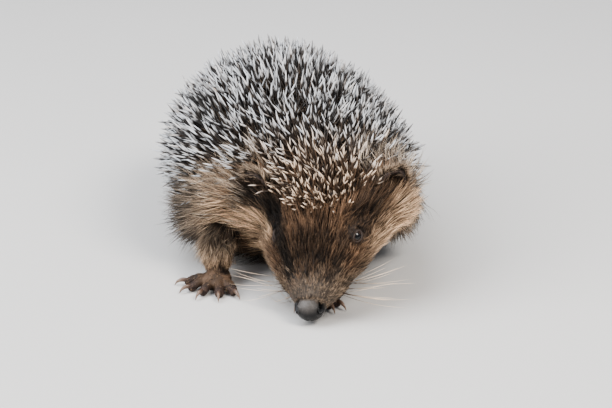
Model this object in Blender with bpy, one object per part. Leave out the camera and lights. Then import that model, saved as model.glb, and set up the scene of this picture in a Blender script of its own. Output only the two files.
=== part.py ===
# A still, life-size young hedgehog, walking with its nose lowered to the ground.
# Metres, +Z up. The animal faces -Y, so its own left side is at +X, and its soles are at Z = 0.
# The solids reach the tips of the coat: the spines on the back and crown, the fur elsewhere.

import math

import bmesh
import bpy
import numpy as np
from mathutils import Matrix, Vector

MM = 0.001
GAP = 0.3 * MM  # clearance between neighbouring pieces
BOTH_SIDES = {"left": 1, "right": -1}

# The body line runs from the nose tip back through the skull, neck and trunk to the rump.
NOSE_TIP = Vector((-6.0, 0.0, 3.6)) * MM
HEAD_YAW = math.radians(27.5)  # turned to the animal's own right
HEAD_PITCH = math.radians(36.5)  # the nose points down at the ground
HEAD_ROLL = math.radians(12)  # the left ear a little higher than the right
SKULL_LENGTH = 36 * MM
NECK_BEND = (20 * MM, 84 * MM)  # the cross-sections turn from the head's direction to the trunk's here
TRUNK_LINE = [Vector(p) * MM for p in ((3, 48, 30.5), (0.8, 66, 30), (0.2, 92, 29), (0, 118, 28))]

# Cross-sections, in mm: how far along the body line, half the width, rise above and drop below it.
# Then the superellipse powers of the upper and the lower half: 2 is round, less is more like a tent
# and more is squarer.
SECTIONS = {
    "snout": (4, 5.4, 4.6, 4.5, 2.1, 2.1),
    "whisker_pads": (8, 9.0, 6.2, 5.8, 2.1, 2.1),
    "muzzle": (14, 13.0, 8.8, 8.6, 2.1, 2.1),
    "brow": (21, 17.2, 12.8, 12.2, 2.1, 2.1),
    "cheeks": (28, 20.8, 16.4, 15.2, 2.1, 1.9),
    "crown": (35, 24.4, 20.4, 17.8, 2.1, 1.85),
    "ears": (42, 29.2, 24.0, 20.6, 2.1, 1.85),
    "nape": (50, 32.8, 26.8, 22.4, 1.95, 2.0),
    "shoulders": (60, 39.6, 30.2, 25.2, 1.82, 3.2),
    "ribs": (74, 44.0, 35.4, 25.4, 1.74, 4.0),
    "back": (90, 45.4, 39.4, 24.4, 1.7, 3.8),
    "loins": (106, 45.0, 39.4, 22.8, 1.7, 3.2),
    "hips": (120, 43.2, 37.4, 21.4, 1.72, 2.8),
}
THROAT_SHIFT = 6.5 * MM  # the turned head pushes the throat and lower cheeks over to the right
THROAT_SPAN = (14 * MM, 30 * MM, 46 * MM, 62 * MM)  # where the shift grows, holds and fades
RUMP_START = 114 * MM
RUMP_LENGTH = 58 * MM
RUMP_RINGS = 10

# Head features sit at (out from the middle, back from the nose tip, up from the body line).
NOSE_SIZE = Vector((4.9, 4.6, 4.3)) * MM  # half width, depth and half height of the pad
HEAD_SPAN = (NOSE_SIZE.y + 0.7 * GAP, 47.0 * MM, 3.1 * MM)  # start, end and spacing of the rings
NECK_SPAN = (HEAD_SPAN[1] + GAP, 58.0 * MM, 5.4 * MM)
TRUNK_SPAN = (NECK_SPAN[1] + GAP, RUMP_START + RUMP_LENGTH, 6 * MM)
EYE_RADIUS = 2.6 * MM
EYE_PLACE = Vector((13.8, 26.4, 8.4)) * MM
EYE_LOOKS = Vector((0.8, -0.34, 0.5))
EAR_ALONG = 42.6 * MM  # the ears' place along the body line
EAR_AROUND = {"left": math.radians(33), "right": math.radians(40)}  # and up from the side of the head
EAR_LIFT = -0.9 * MM  # the middle of the cup lies a little below the tips of the fur
EAR_SIZE = Vector((5.2, 3.0, 6.6)) * MM  # half width, thickness and height of the cup
EAR_WALL = 1.2 * MM
MOUTH_SPAN = (6.4 * MM, 25.0 * MM)  # from the lower lip to the corner of the mouth
MOUTH_DROP = (2.6 * MM, 5.2 * MM)  # the mouth line's drop below the body line at those two

# Legs run through (x, y, z, radius), in mm, and end at the wrist or the ankle.
LEGS = {
    "foreleg_right": [(-19, 62, 24, 10), (-26, 54, 17, 7.8), (-30, 45.4, 11.5, 5.4), (-31, 41.4, 7.8, 4.7)],
    "foreleg_left": [(20, 56, 24, 10), (16, 45, 15.5, 7.8), (5, 32, 9.8, 5.2), (1.2, 26.2, 7.2, 4.6)],
    "hindleg_right": [(-20, 125, 24, 12), (-24, 130, 15, 8.6), (-26, 136, 8.8, 5.6), (-26, 138, 6.8, 5.0)],
    "hindleg_left": [(20, 130, 24, 12), (24, 136, 15, 8.6), (26, 142, 8.8, 5.6), (26, 144, 6.8, 5.0)],
}
TAIL = [(0, 144, 16, 4.4), (0, 152, 12.5, 3.4), (0, 157, 10.4, 2.4), (0, 160, 9.2, 1.6)]

# Paws, in mm and degrees: the palm's middle, the heading to the animal's right and the toes' spread.
FORE_SOLE = {"length": 11.0, "width": 10.4, "height": 8.2, "toe": 6.6, "claw": 4.8}
HIND_SOLE = {"length": 22.0, "width": 9.8, "height": 8.6, "toe": 6.8, "claw": 4.6}
PAWS = {
    "forepaw_right": {"at": (-31.4, 37.6), "heading": 38, "fan": 122, **FORE_SOLE},
    "forepaw_left": {"at": (0.6, 21.6), "heading": 2, "fan": 64, **FORE_SOLE},
    "hindpaw_right": {"at": (-26.5, 129), "heading": 12, "fan": 44, **HIND_SOLE},
    "hindpaw_left": {"at": (26.5, 135), "heading": -12, "fan": 44, **HIND_SOLE},
}
TOE_SHARES = (0.84, 0.97, 1.0, 0.97, 0.86)  # each toe's length, from the inner to the outer
TOE_RADIUS = 1.7  # mm
CLAW_RADIUS = 0.72  # mm

# name: linear colour, roughness
FINISHES = {
    "spiny_coat": ((0.25, 0.215, 0.185), 0.7),
    "face_fur": ((0.115, 0.072, 0.046), 0.85),
    "bare_skin": ((0.17, 0.10, 0.075), 0.6),
    "nose_skin": ((0.016, 0.016, 0.018), 0.35),
    "eyeball": ((0.006, 0.005, 0.005), 0.05),
    "claw_horn": ((0.23, 0.15, 0.12), 0.4),
}


def smooth(knots, values, at):
    """Cubic curve through the values, with the slope at each knot taken from its neighbours."""
    knots, values, at = (np.asarray(x, float) for x in (knots, values, at))
    slopes = np.gradient(values, knots, axis=0)
    i = np.clip(np.searchsorted(knots, at) - 1, 0, len(knots) - 2)
    step = knots[i + 1] - knots[i]
    t = (at - knots[i]) / step
    if values.ndim > 1:
        t, step = t[..., None], step[..., None]
    h00, h10 = 2 * t**3 - 3 * t**2 + 1, t**3 - 2 * t**2 + t
    h01, h11 = 3 * t**2 - 2 * t**3, t**3 - t**2
    return h00 * values[i] + h10 * step * slopes[i] + h01 * values[i + 1] + h11 * step * slopes[i + 1]


def head_direction():
    """Unit vector from the nose tip back along the skull."""
    level = math.cos(HEAD_PITCH)
    return Vector((math.sin(HEAD_YAW) * level, math.cos(HEAD_YAW) * level, math.sin(HEAD_PITCH)))


def body_line():
    """Knots and points of the body line, by length along it."""
    skull = [NOSE_TIP + head_direction() * SKULL_LENGTH * share for share in (0, 0.34, 0.67, 1)]
    points = np.array(skull + TRUNK_LINE + [TRUNK_LINE[-1] + Vector((0, 60, -12)) * MM])
    lengths = np.linalg.norm(np.diff(points, axis=0), axis=1)
    return np.concatenate([[0], np.cumsum(lengths)]), points


LINE_KNOTS, LINE_POINTS = body_line()
SECTION_TABLE = np.array(list(SECTIONS.values())) * MM


def frame_at(along):
    """Origin, side, back and up directions of the body's cross-section there."""
    origin = Vector(smooth(LINE_KNOTS, LINE_POINTS, along))
    start, end = NECK_BEND
    t = min(max((along - start) / (end - start), 0), 1)
    share = 1 - t * t * (3 - 2 * t)
    turn = Matrix.Rotation(-HEAD_YAW * share, 3, "Z")
    turn = turn @ Matrix.Rotation(HEAD_PITCH * share, 3, "X")
    turn = turn @ Matrix.Rotation(-HEAD_ROLL * share, 3, "Y")
    return origin, *(turn @ Vector(axis) for axis in ((1, 0, 0), (0, 1, 0), (0, 0, 1)))


def head_matrix(along=0.0):
    """Places a shape that is drawn with X out to the animal's left, Y back and Z up, in the skull's frame."""
    _, side, back, up = frame_at(0)
    return Matrix.Translation(NOSE_TIP + back * along) @ Matrix((side, back, up)).transposed().to_4x4()


def half_sizes(along, grow):
    """Half width, rise and drop of the body there. The rump closes as half an ellipse."""
    sizes = smooth(SECTION_TABLE[:, 0], SECTION_TABLE[:, 1:4], min(along, SECTION_TABLE[-1, 0]))
    u = min(max((along - RUMP_START) / RUMP_LENGTH, 0), 1)
    return sizes * math.sqrt(1 - u * u) + grow


def roundness(along):
    """Superellipse powers of the upper and the lower half of the body there."""
    return smooth(SECTION_TABLE[:, 0], SECTION_TABLE[:, 4:], min(along, SECTION_TABLE[-1, 0])) / MM


def ring_at(along, grow, count):
    """One cross-section of the body as a list of points."""
    origin, side, _, up = frame_at(along)
    width, rise, drop = half_sizes(along, grow)
    upper, lower = roundness(along)
    throat = THROAT_SHIFT * np.interp(along, THROAT_SPAN, (0, 1, 1, 0))
    points = []
    for k in range(count):
        angle = 2 * math.pi * k / count
        c, s = math.cos(angle), math.sin(angle)
        power = 2 / (upper if s >= 0 else lower)
        out = math.copysign(abs(c) ** power, c) * width
        height = math.copysign(abs(s) ** power, s) * (rise if s >= 0 else drop)
        out -= throat * min(max(-height / drop, 0), 1)
        points.append(origin + side * out + up * height)
    return points


def add_object(name, mesh_data, finish):
    """New object for a mesh, with its own material."""
    colour, roughness = FINISHES[finish]
    material = bpy.data.materials.get(finish) or bpy.data.materials.new(finish)
    material.use_nodes = True
    shader = material.node_tree.nodes["Principled BSDF"]
    shader.inputs["Base Color"].default_value = (*colour, 1)
    shader.inputs["Roughness"].default_value = roughness
    mesh_data.materials.append(material)
    mesh_data.shade_smooth()
    made = bpy.data.objects.new(name, mesh_data)
    bpy.context.scene.collection.objects.link(made)
    return made


def mesh_from(name, shape):
    """Mesh data of a bmesh, with its faces pointing out."""
    bmesh.ops.recalc_face_normals(shape, faces=shape.faces)
    data = bpy.data.meshes.new(name)
    shape.to_mesh(data)
    shape.free()
    return data


def loft(rings):
    """Closed bmesh through rings of equal count. A ring of one point closes an end to a pole."""
    shape = bmesh.new()
    rows = [[shape.verts.new(p) for p in ring] for ring in rings]
    for a, b in zip(rows, rows[1:]):
        count = max(len(a), len(b))
        for k in range(count):
            n = (k + 1) % count
            corners = [a[k % len(a)], a[n % len(a)], b[n % len(b)], b[k % len(b)]]
            shape.faces.new(list(dict.fromkeys(corners)))
    for end in (rows[0], rows[-1]):
        if len(end) > 2:
            shape.faces.new(end)
    return shape


def body_piece(*spans, grow=0.0, count=34):
    """Closed mesh of the body over spans of (start, end, spacing). The rump closes at its pole."""
    rings = []
    for start, end, spacing in spans:
        last = min(end, RUMP_START)
        steps = max(2, round((last - start) / spacing))
        rings += [ring_at(start + (last - start) * k / steps, grow, count) for k in range(steps + 1)]
    if end > RUMP_START:
        for k in range(1, RUMP_RINGS):
            turn = math.pi / 2 * k / RUMP_RINGS
            rings.append(ring_at(RUMP_START + RUMP_LENGTH * math.sin(turn), grow, count))
        origin, _, back, _ = frame_at(RUMP_START + RUMP_LENGTH)
        rings.append([origin + back * grow])
    return loft(rings)


def tube(path, sides=12, steps=3, round_start=False, round_end=True):
    """Tube through (x, y, z, radius) in mm. Its ends are round, pointed or, at the start, flat."""
    path = np.array(path, float) * MM
    knots = np.concatenate([[0], np.cumsum(np.linalg.norm(np.diff(path[:, :3], axis=0), axis=1))])
    count = steps * (len(path) - 1)
    rows = smooth(knots, path, np.linspace(0, knots[-1], count + 1))
    centres, radii = rows[:, :3], rows[:, 3]
    tangents = np.gradient(centres, axis=0)
    rings = []

    def ring(centre, tangent, radius):
        turn = Vector(tangent).to_track_quat("Z", "Y")
        for_angle = [2 * math.pi * k / sides for k in range(sides)]
        return [Vector(centre) + turn @ Vector((math.cos(a), math.sin(a), 0)) * radius for a in for_angle]

    def rounded(centre, tangent, radius, way):
        tangent = Vector(tangent).normalized() * way
        turn = math.radians(48)
        rim = ring(Vector(centre) + tangent * radius * math.sin(turn), tangent * way, radius * math.cos(turn))
        return [rim, [Vector(centre) + tangent * radius]]

    for centre, tangent, radius in zip(centres, tangents, radii):
        rings.append(ring(centre, tangent, radius))
    if round_start:
        rings = rounded(centres[0], tangents[0], radii[0], -1)[::-1] + rings
    if round_end:
        return loft(rings + rounded(centres[-1], tangents[-1], radii[-1], 1))
    return loft(rings[:-1] + [[Vector(centres[-1])]])


def ellipsoid(sizes, segments=14, rings=9):
    """Ellipsoid of these half sizes about the origin."""
    shape = bmesh.new()
    bmesh.ops.create_uvsphere(shape, u_segments=segments, v_segments=rings, radius=1)
    bmesh.ops.scale(shape, vec=sizes, verts=shape.verts)
    return shape


def placed(shape, matrix):
    """The bmesh moved by a matrix."""
    bmesh.ops.transform(shape, matrix=matrix, verts=shape.verts)
    return shape


def cutter(name, shape):
    """Helper object that only cuts others."""
    helper = bpy.data.objects.new(name, mesh_from(name, shape))
    bpy.context.scene.collection.objects.link(helper)
    helper.hide_render = True
    helper.display_type = "WIRE"
    return helper


def boolean(target, other, operation):
    """Exact Boolean of the target with another object."""
    step = target.modifiers.new(f"{operation.lower()}_{other.name}", "BOOLEAN")
    step.operation = operation
    step.object = other
    step.solver = "EXACT"


def cube(low, high):
    """Box between two corners, in metres."""
    shape = bmesh.new()
    bmesh.ops.create_cube(shape, size=1)
    low, high = Vector(low), Vector(high)
    matrix = Matrix.Translation((low + high) / 2) @ Matrix.Diagonal((*(high - low), 1))
    return placed(shape, matrix)


def mouth_wedge(grow):
    """The space of the lower jaw: below the mouth line, from the lip to the corner of the mouth."""
    front, corner = MOUTH_SPAN
    out, down = 16 * MM, 20 * MM
    shape = cube((-out, front - grow, -down), (out, corner + grow, 0))
    for point in shape.verts:
        if point.co.z > -down / 2:
            point.co.z = grow - MOUTH_DROP[0 if point.co.y < (front + corner) / 2 else 1]
    return placed(shape, head_matrix())


def make_body():
    """Head, lower jaw, neck, trunk and tail."""
    head = add_object("head", mesh_from("head", body_piece(HEAD_SPAN)), "face_fur")
    jaw = add_object("lower_jaw", mesh_from("lower_jaw", body_piece(HEAD_SPAN)), "face_fur")
    boolean(head, cutter("mouth_cut", mouth_wedge(GAP)), "DIFFERENCE")
    boolean(jaw, cutter("jaw_space", mouth_wedge(0)), "INTERSECT")
    add_object("neck", mesh_from("neck", body_piece(NECK_SPAN)), "spiny_coat")
    add_object("trunk", mesh_from("trunk", body_piece(TRUNK_SPAN)), "spiny_coat")
    tail = add_object("tail", mesh_from("tail", tube(TAIL)), "face_fur")
    return head, tail


def make_nose():
    """The pad at the tip of the snout, with a nostril in each side."""
    shape = ellipsoid(NOSE_SIZE, 16, 10)
    back_face = bmesh.ops.bisect_plane(
        shape, geom=shape.verts[:] + shape.edges[:] + shape.faces[:],
        plane_co=(0, -0.1 * MM, 0), plane_no=(0, 1, 0), clear_outer=True,
    )
    rim = [e for e in back_face["geom_cut"] if isinstance(e, bmesh.types.BMEdge)]
    bmesh.ops.contextual_create(shape, geom=rim)
    nose = add_object("nose", mesh_from("nose", placed(shape, head_matrix(NOSE_SIZE.y))), "nose_skin")
    for side, sign in BOTH_SIDES.items():
        hole = ellipsoid(Vector((1.5, 1.5, 0.75)) * MM, 12, 8)
        place = Vector((sign * 4.0 * MM, 0.9 * MM, -0.3 * MM))
        tilt = Matrix.Translation(place) @ Matrix.Rotation(math.radians(28) * sign, 4, "Y")
        boolean(nose, cutter(f"nostril_{side}", placed(hole, head_matrix() @ tilt)), "DIFFERENCE")
    return nose


def make_eyes(head):
    """Eyeballs, each in a socket that opens to the side."""
    for side, sign in BOTH_SIDES.items():
        mirror = Vector((sign, 1, 1))
        centre = head_matrix() @ (EYE_PLACE * mirror)
        looks = (head_matrix().to_3x3() @ (EYE_LOOKS * mirror)).normalized()
        ball = placed(ellipsoid(Vector((1, 1, 1)) * EYE_RADIUS, 12, 8), Matrix.Translation(centre))
        add_object(f"eye_{side}", mesh_from(f"eye_{side}", ball), "eyeball")
        room = Vector((1, 1, 1)) * (EYE_RADIUS + GAP)
        socket = placed(ellipsoid(room, 12, 8), Matrix.Translation(centre))
        boolean(head, cutter(f"socket_{side}", socket), "DIFFERENCE")
        opening = bmesh.new()
        bmesh.ops.create_cone(
            opening, cap_ends=True, segments=14, radius1=2.2 * MM, radius2=4.4 * MM, depth=6 * MM
        )
        turn = looks.to_track_quat("Z", "Y").to_matrix().to_4x4()
        placed(opening, Matrix.Translation(centre + looks * 4.4 * MM) @ turn)
        boolean(head, cutter(f"lids_{side}", opening), "DIFFERENCE")


def make_ears(body_cutter):
    """Round, cupped ears that open forward and out."""
    origin, outward, back, up = frame_at(EAR_ALONG)
    width, rise, _ = half_sizes(EAR_ALONG, EAR_LIFT)
    power = 2 / roundness(EAR_ALONG)[0]
    for side, sign in BOTH_SIDES.items():
        around = EAR_AROUND[side]
        out, height = math.cos(around) ** power * width, math.sin(around) ** power * rise
        centre = origin + outward * out * sign + up * height
        tip = (outward * 0.66 * sign + back * 0.3 + up * 0.66).normalized()
        facing = outward * 0.5 * sign - back * 0.84
        facing = (facing - tip * facing.dot(tip)).normalized()
        axes = Matrix((tip.cross(facing), facing, tip)).transposed()
        place = Matrix.Translation(centre) @ axes.to_4x4()
        cup = mesh_from(f"ear_{side}", placed(ellipsoid(EAR_SIZE), place))
        ear = add_object(f"ear_{side}", cup, "bare_skin")
        hollow_size = EAR_SIZE - Vector((1, 0, 1)) * EAR_WALL
        hollow = placed(ellipsoid(hollow_size), place @ Matrix.Translation((0, EAR_WALL, 0)))
        boolean(ear, cutter(f"ear_hollow_{side}", hollow), "DIFFERENCE")
        boolean(ear, body_cutter, "DIFFERENCE")


def make_legs(body_cutter):
    """Legs, each cut to the body's outline."""
    for name, path in LEGS.items():
        leg = add_object(name, mesh_from(name, tube(path)), "face_fur")
        boolean(leg, body_cutter, "DIFFERENCE")


def toe_path(sole, fan_share, length_share):
    """Points and radii of one toe, from inside the palm to its tip, and the direction that it points."""
    turn = math.radians(sole["heading"] + sole["fan"] * fan_share)
    ahead = Vector((-math.sin(turn), -math.cos(turn), 0))
    heading = math.radians(sole["heading"])
    forward = Vector((-math.sin(heading), -math.cos(heading), 0))
    across = Vector((-forward.y, forward.x, 0))
    root = Vector((*sole["at"], 3.2)) + forward * (sole["length"] - sole["width"]) / 2
    root += ahead * sole["width"] * 0.22 - across * sole["width"] * 0.4 * fan_share
    reach = sole["toe"] * length_share
    points = [root, root + ahead * reach * 0.6, root + ahead * reach]
    heights = (3.2, 2.9, 1.25)
    radii = (TOE_RADIUS, TOE_RADIUS * 1.06, TOE_RADIUS * 0.84)
    return [(p.x, p.y, z, r) for p, z, r in zip(points, heights, radii)], ahead


def make_paw(name):
    """Sole, five toes and five claws."""
    sole = PAWS[name]
    pad = ellipsoid(Vector((sole["width"], sole["length"], sole["height"])) * MM / 2, 14, 8)
    turn = Matrix.Rotation(-math.radians(sole["heading"]), 4, "Z")
    lie = Matrix.Translation(Vector((*sole["at"], 2.9)) * MM) @ turn
    paw = add_object(name, mesh_from(name, placed(pad, lie)), "bare_skin")
    gap = GAP / MM
    for k, share in enumerate(TOE_SHARES):
        fan_share = (k - 2) / 4 * (1 if name.endswith("right") else -1)
        points, ahead = toe_path(sole, fan_share, share)
        toe = tube(points, sides=6, steps=2)
        boolean(paw, cutter(f"{name}_toe_{k + 1}", toe), "UNION")
        tip = Vector(points[-1][:3]) + ahead * sole["claw"]
        knuckle = Vector(points[-1][:3]) + ahead * sole["claw"] * 0.55 + Vector((0, 0, 0.5))
        root = Vector(points[-1][:3]) + Vector((0, 0, 0.35))
        tip.z = 0.3
        claw = tube([(*root, CLAW_RADIUS), (*knuckle, CLAW_RADIUS * 0.75), (*tip, 0)], 6, 2, round_end=False)
        claw = add_object(f"{name}_claw_{k + 1}", mesh_from(f"{name}_claw_{k + 1}", claw), "claw_horn")
        sheath = tube([(*p[:3], p[3] + gap) for p in points[1:]], 8)
        boolean(claw, cutter(f"{name}_sheath_{k + 1}", sheath), "DIFFERENCE")
    return paw


def centre_on_floor():
    """Moves everything so that the origin is below the middle of the model, on the floor."""
    bpy.context.view_layer.update()
    graph = bpy.context.evaluated_depsgraph_get()
    corners = []
    for part in bpy.context.scene.objects:
        if not part.hide_render:
            mesh = part.evaluated_get(graph).to_mesh()
            corners += [part.matrix_world @ v.co for v in mesh.vertices]
    corners = np.array(corners)
    low, high = corners.min(axis=0), corners.max(axis=0)
    shift = Vector((-(low[0] + high[0]) / 2, -(low[1] + high[1]) / 2, -low[2]))
    for part in bpy.context.scene.objects:
        part.location += shift


def main():
    for old in list(bpy.data.objects):
        bpy.data.objects.remove(old)
    floor = cutter("floor_cut", cube((-0.3, -0.3, -0.05), (0.3, 0.4, 0)))
    head, tail = make_body()
    nose = make_nose()
    make_eyes(head)
    whole = cutter("body_space", body_piece(HEAD_SPAN, NECK_SPAN, TRUNK_SPAN, grow=1.2 * GAP))
    make_ears(whole)
    make_legs(whole)
    boolean(tail, whole, "DIFFERENCE")
    for name in PAWS:
        paw = make_paw(name)
        boolean(paw, floor, "DIFFERENCE")
        leg = LEGS[name.replace("paw", "leg")]
        ankle = tube([(*p[:3], p[3] + GAP / MM) for p in leg])
        boolean(paw, cutter(f"{name}_ankle", ankle), "DIFFERENCE")
        boolean(paw, whole, "DIFFERENCE")
    centre_on_floor()


main()
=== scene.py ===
# A young hedgehog walking with its nose lowered: a still, life-size model.
# One skin lies under the coat, with the eyes, claws, quills, fur and whiskers as their own pieces.
# Shapes are worked out in millimetres in the frame's axes, and turned to metres as each mesh is made.
import math

import bmesh
import bpy
import numpy as np
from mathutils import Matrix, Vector
from mathutils.kdtree import KDTree


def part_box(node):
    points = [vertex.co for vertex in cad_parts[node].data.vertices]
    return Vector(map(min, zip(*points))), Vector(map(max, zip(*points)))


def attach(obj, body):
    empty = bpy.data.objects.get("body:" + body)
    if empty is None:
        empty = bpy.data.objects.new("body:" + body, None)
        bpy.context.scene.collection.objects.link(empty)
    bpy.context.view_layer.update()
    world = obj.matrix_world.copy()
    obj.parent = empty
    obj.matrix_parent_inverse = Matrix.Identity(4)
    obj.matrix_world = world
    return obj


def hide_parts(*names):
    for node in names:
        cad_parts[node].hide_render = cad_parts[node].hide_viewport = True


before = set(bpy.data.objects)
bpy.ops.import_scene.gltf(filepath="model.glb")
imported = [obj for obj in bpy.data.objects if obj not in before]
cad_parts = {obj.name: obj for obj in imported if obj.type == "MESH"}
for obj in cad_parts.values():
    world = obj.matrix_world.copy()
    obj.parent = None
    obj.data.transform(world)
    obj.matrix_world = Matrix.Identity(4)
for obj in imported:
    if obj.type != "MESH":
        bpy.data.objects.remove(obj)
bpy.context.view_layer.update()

mm = 0.001
up = np.array((0.0, 0.0, 1.0))
bothSides = {"left": 1, "right": -1}

# the outline that the frame was drawn to: sections along one bent line
bodyShape = {
    "headYaw": 27.5, "headPitch": 36.5, "headRoll": 12.0,  # degrees
    "skullLength": 36.0,
    "neckBend": (20.0, 84.0),
    "noseTip": (-6.0, 0.0, 3.6),
    "trunkLine": ((3, 48, 30.5), (0.8, 66, 30), (0.2, 92, 29), (0, 118, 28), (0, 178, 16)),
    "sections": (  # along, half width, rise, drop, upper power, lower power
        (4, 5.4, 4.6, 4.5, 2.1, 2.1),
        (8, 9.0, 6.2, 5.8, 2.1, 2.1),
        (14, 13.0, 8.8, 8.6, 2.1, 2.1),
        (21, 17.2, 12.8, 12.2, 2.1, 2.1),
        (28, 20.8, 16.4, 15.2, 2.1, 1.9),
        (35, 24.4, 20.4, 17.8, 2.1, 1.85),
        (42, 29.2, 24.0, 20.6, 2.1, 1.85),
        (50, 32.8, 26.8, 22.4, 1.95, 2.0),
        (60, 39.6, 30.2, 25.2, 1.82, 3.2),
        (74, 44.0, 35.4, 25.4, 1.74, 4.0),
        (90, 45.4, 39.4, 24.4, 1.7, 3.8),
        (106, 45.0, 39.4, 22.8, 1.7, 3.2),
        (120, 43.2, 37.4, 21.4, 1.72, 2.8),
    ),
    "rumpStart": 114.0, "rumpEnd": 172.0,
    "throatShift": 6.5, "throatSpan": (14, 30, 46, 62),  # the turned head pushes the throat to the right
    "eyePlace": (13.8, 26.4, 8.4),  # out, back and up from the nose tip
    "eyeLooks": (0.8, -0.34, 0.5),
}

# how far the skin lies under the outline, in mm, by place along the body line
coatDepths = {
    "fur": ((4, 0.5), (10, 0.8), (20, 1.1), (28, 1.7), (36, 2.3), (46, 3.2), (60, 4.8), (80, 6.5), (172, 7)),
    "quills": ((26, 2.6), (34, 4.6), (45, 7.2), (60, 9.6), (80, 11.2), (150, 11.2), (172, 10)),
    "belly": 0.42, "bellyLift": (35, 80), "bellyAlong": (40, 56),  # share of the fur's depth below, and where
    # drawn tight
    "leftCheek": 1.7, "cheekAlong": (9, 17, 30, 42), "cheekSide": (0.1, 0.7), "cheekTop": (5, 35),
    "lid": 0.45, "lidReach": (3.5, 7.5),  # the skin swells a little round each eye
    "border": 9, "lastMiddle": 142,
}
# the lowest angle above the side, in degrees, that quills grow at
quillEdge = (
    (28.2, 97), (29.2, 78), (30.5, 68), (32, 60), (35.5, 50), (39, 43), (43, 44), (48, 34), (54, 15), (60, 1),
    (70, -9), (90, -15), (140, -15), (160, -10), (172, -4),
)


# smooth step from 0 at low to 1 at high
def blendShare(x, low, high):
    t = np.clip((np.asarray(x, float) - low) / (high - low), 0, 1)
    return t * t * (3 - 2 * t)


# the same step going down, from 1 to 0
def fadeShare(x, low, high):
    return 1 - blendShare(x, low, high)


# up over the first two places and down again over the last two
def spanShare(x, low, high, end, last):
    return blendShare(x, low, high) * fadeShare(x, end, last)


# 1 at the middle, falling away smoothly on both sides
def bell(x, middle, width):
    return np.exp(-(((x - middle) / width) ** 2))


def between(pair, share):
    return pair[0] + (pair[1] - pair[0]) * share


def lengthOf(v):
    return np.linalg.norm(v, axis=-1)


def unit(v):
    return v / np.maximum(np.linalg.norm(v, axis=-1, keepdims=True), 1e-9)


# directions turned to lie along the skin
def laidFlat(ways, normals):
    return unit(ways - normals * np.sum(ways * normals, 1, keepdims=True))


def nearnessTree(points):
    tree = KDTree(len(points))
    for k, p in enumerate(points):
        tree.insert(p, k)
    tree.balance()
    return tree


def pick(keep, *arrays):
    return [values[keep] for values in arrays]


# slow random waves over the body, from about -1 to 1
def drift(points, size, seed):
    dice = np.random.default_rng(seed)
    total = np.zeros(len(points))
    for _ in range(6):
        way = unit(dice.normal(0, 1, 3)) * (0.7 + 0.6 * dice.random())
        total += np.sin(points @ way * 2 * np.pi / size + dice.random() * 2 * np.pi)
    return total / 2.4


def waved(points, wave):
    height, size, seed = wave
    return height * drift(points, size, seed)


# straight lines between rows of place and value
def table(rows, at):
    rows = np.array(rows, float)
    return np.interp(at, rows[:, 0], rows[:, 1])


# smooth curve through values at knots
def smoothCurve(knots, values, at):
    at = np.asarray(at, float)
    slopes = np.gradient(values, knots, axis=0)
    i = np.clip(np.searchsorted(knots, at) - 1, 0, len(knots) - 2)
    step = knots[i + 1] - knots[i]
    t = (at - knots[i]) / step
    if values.ndim > 1:
        t, step = t[..., None], step[..., None]
    a, b = values[i], values[i + 1]
    rise = t * t * (3 - 2 * t)
    return a + (b - a) * rise + step * ((t**3 - 2 * t**2 + t) * slopes[i] + (t**3 - t**2) * slopes[i + 1])


def turnAbout(axis, angle):
    c, s = np.cos(angle), np.sin(angle)
    o, i = 0 * c, 0 * c + 1
    rows = {"X": ((i, o, o), (o, c, -s), (o, s, c)), "Y": ((c, o, s), (o, i, o), (-s, o, c)),
            "Z": ((c, -s, o), (s, c, o), (o, o, i))}[axis]
    return np.moveaxis(np.array(rows), (0, 1), (-2, -1))


# side, back and up directions of the cross-section, as the columns of a turn
def axesAt(along):
    start, end = bodyShape["neckBend"]
    share = 1 - blendShare(along, start, end)
    yaw, pitch, roll = (math.radians(bodyShape[k]) for k in ("headYaw", "headPitch", "headRoll"))
    return turnAbout("Z", -yaw * share) @ turnAbout("X", pitch * share) @ turnAbout("Y", -roll * share)


headAxes = axesAt(0.0)
eyePlace = np.array(bodyShape["eyePlace"])
low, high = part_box("eye_left")
noseTip = np.array((low + high) / 2) / mm - headAxes @ eyePlace  # the eye's socket ties the two together
moved = noseTip - np.array(bodyShape["noseTip"])


def bodyLine():
    yaw, pitch = math.radians(bodyShape["headYaw"]), math.radians(bodyShape["headPitch"])
    back = np.array((math.sin(yaw) * math.cos(pitch), math.cos(yaw) * math.cos(pitch), math.sin(pitch)))
    skull = [noseTip + back * bodyShape["skullLength"] * share for share in (0, 0.34, 0.67, 1)]
    points = np.array(skull + [np.array(p) + moved for p in bodyShape["trunkLine"]])
    return np.concatenate([[0], np.cumsum(lengthOf(np.diff(points, axis=0)))]), points


lineKnots, linePoints = bodyLine()
sectionRows = np.array(bodyShape["sections"], float)


def lineAt(along):
    return smoothCurve(lineKnots, linePoints, along)


# a point of the frame's outline. Around is 0 at the animal's left, a quarter turn at the top
def outlineAt(along, around):
    along, around = np.broadcast_arrays(np.asarray(along, float), np.asarray(around, float))
    axes = axesAt(along)
    rows = smoothCurve(sectionRows[:, 0], sectionRows[:, 1:], np.minimum(along, sectionRows[-1, 0]))
    u = np.clip((along - bodyShape["rumpStart"]) / (bodyShape["rumpEnd"] - bodyShape["rumpStart"]), 0, 1)
    size = np.sqrt(1 - u * u)
    c, s = np.cos(around), np.sin(around)
    power = 2 / np.where(s >= 0, rows[..., 3], rows[..., 4])
    out = np.sign(c) * np.abs(c) ** power * rows[..., 0] * size
    up = np.sign(s) * np.abs(s) ** power * np.where(s >= 0, rows[..., 1], rows[..., 2]) * size
    throat = bodyShape["throatShift"] * np.interp(along, bodyShape["throatSpan"], (0, 1, 1, 0))
    out = out - throat * np.where(s < 0, np.abs(s) ** power, 0)
    return lineAt(along) + axes[..., 0] * out[..., None] + axes[..., 2] * up[..., None]


# degrees above the side, the same on both sides
def liftOf(around):
    return np.degrees(np.arctan2(np.sin(around), np.abs(np.cos(around))))


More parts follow.
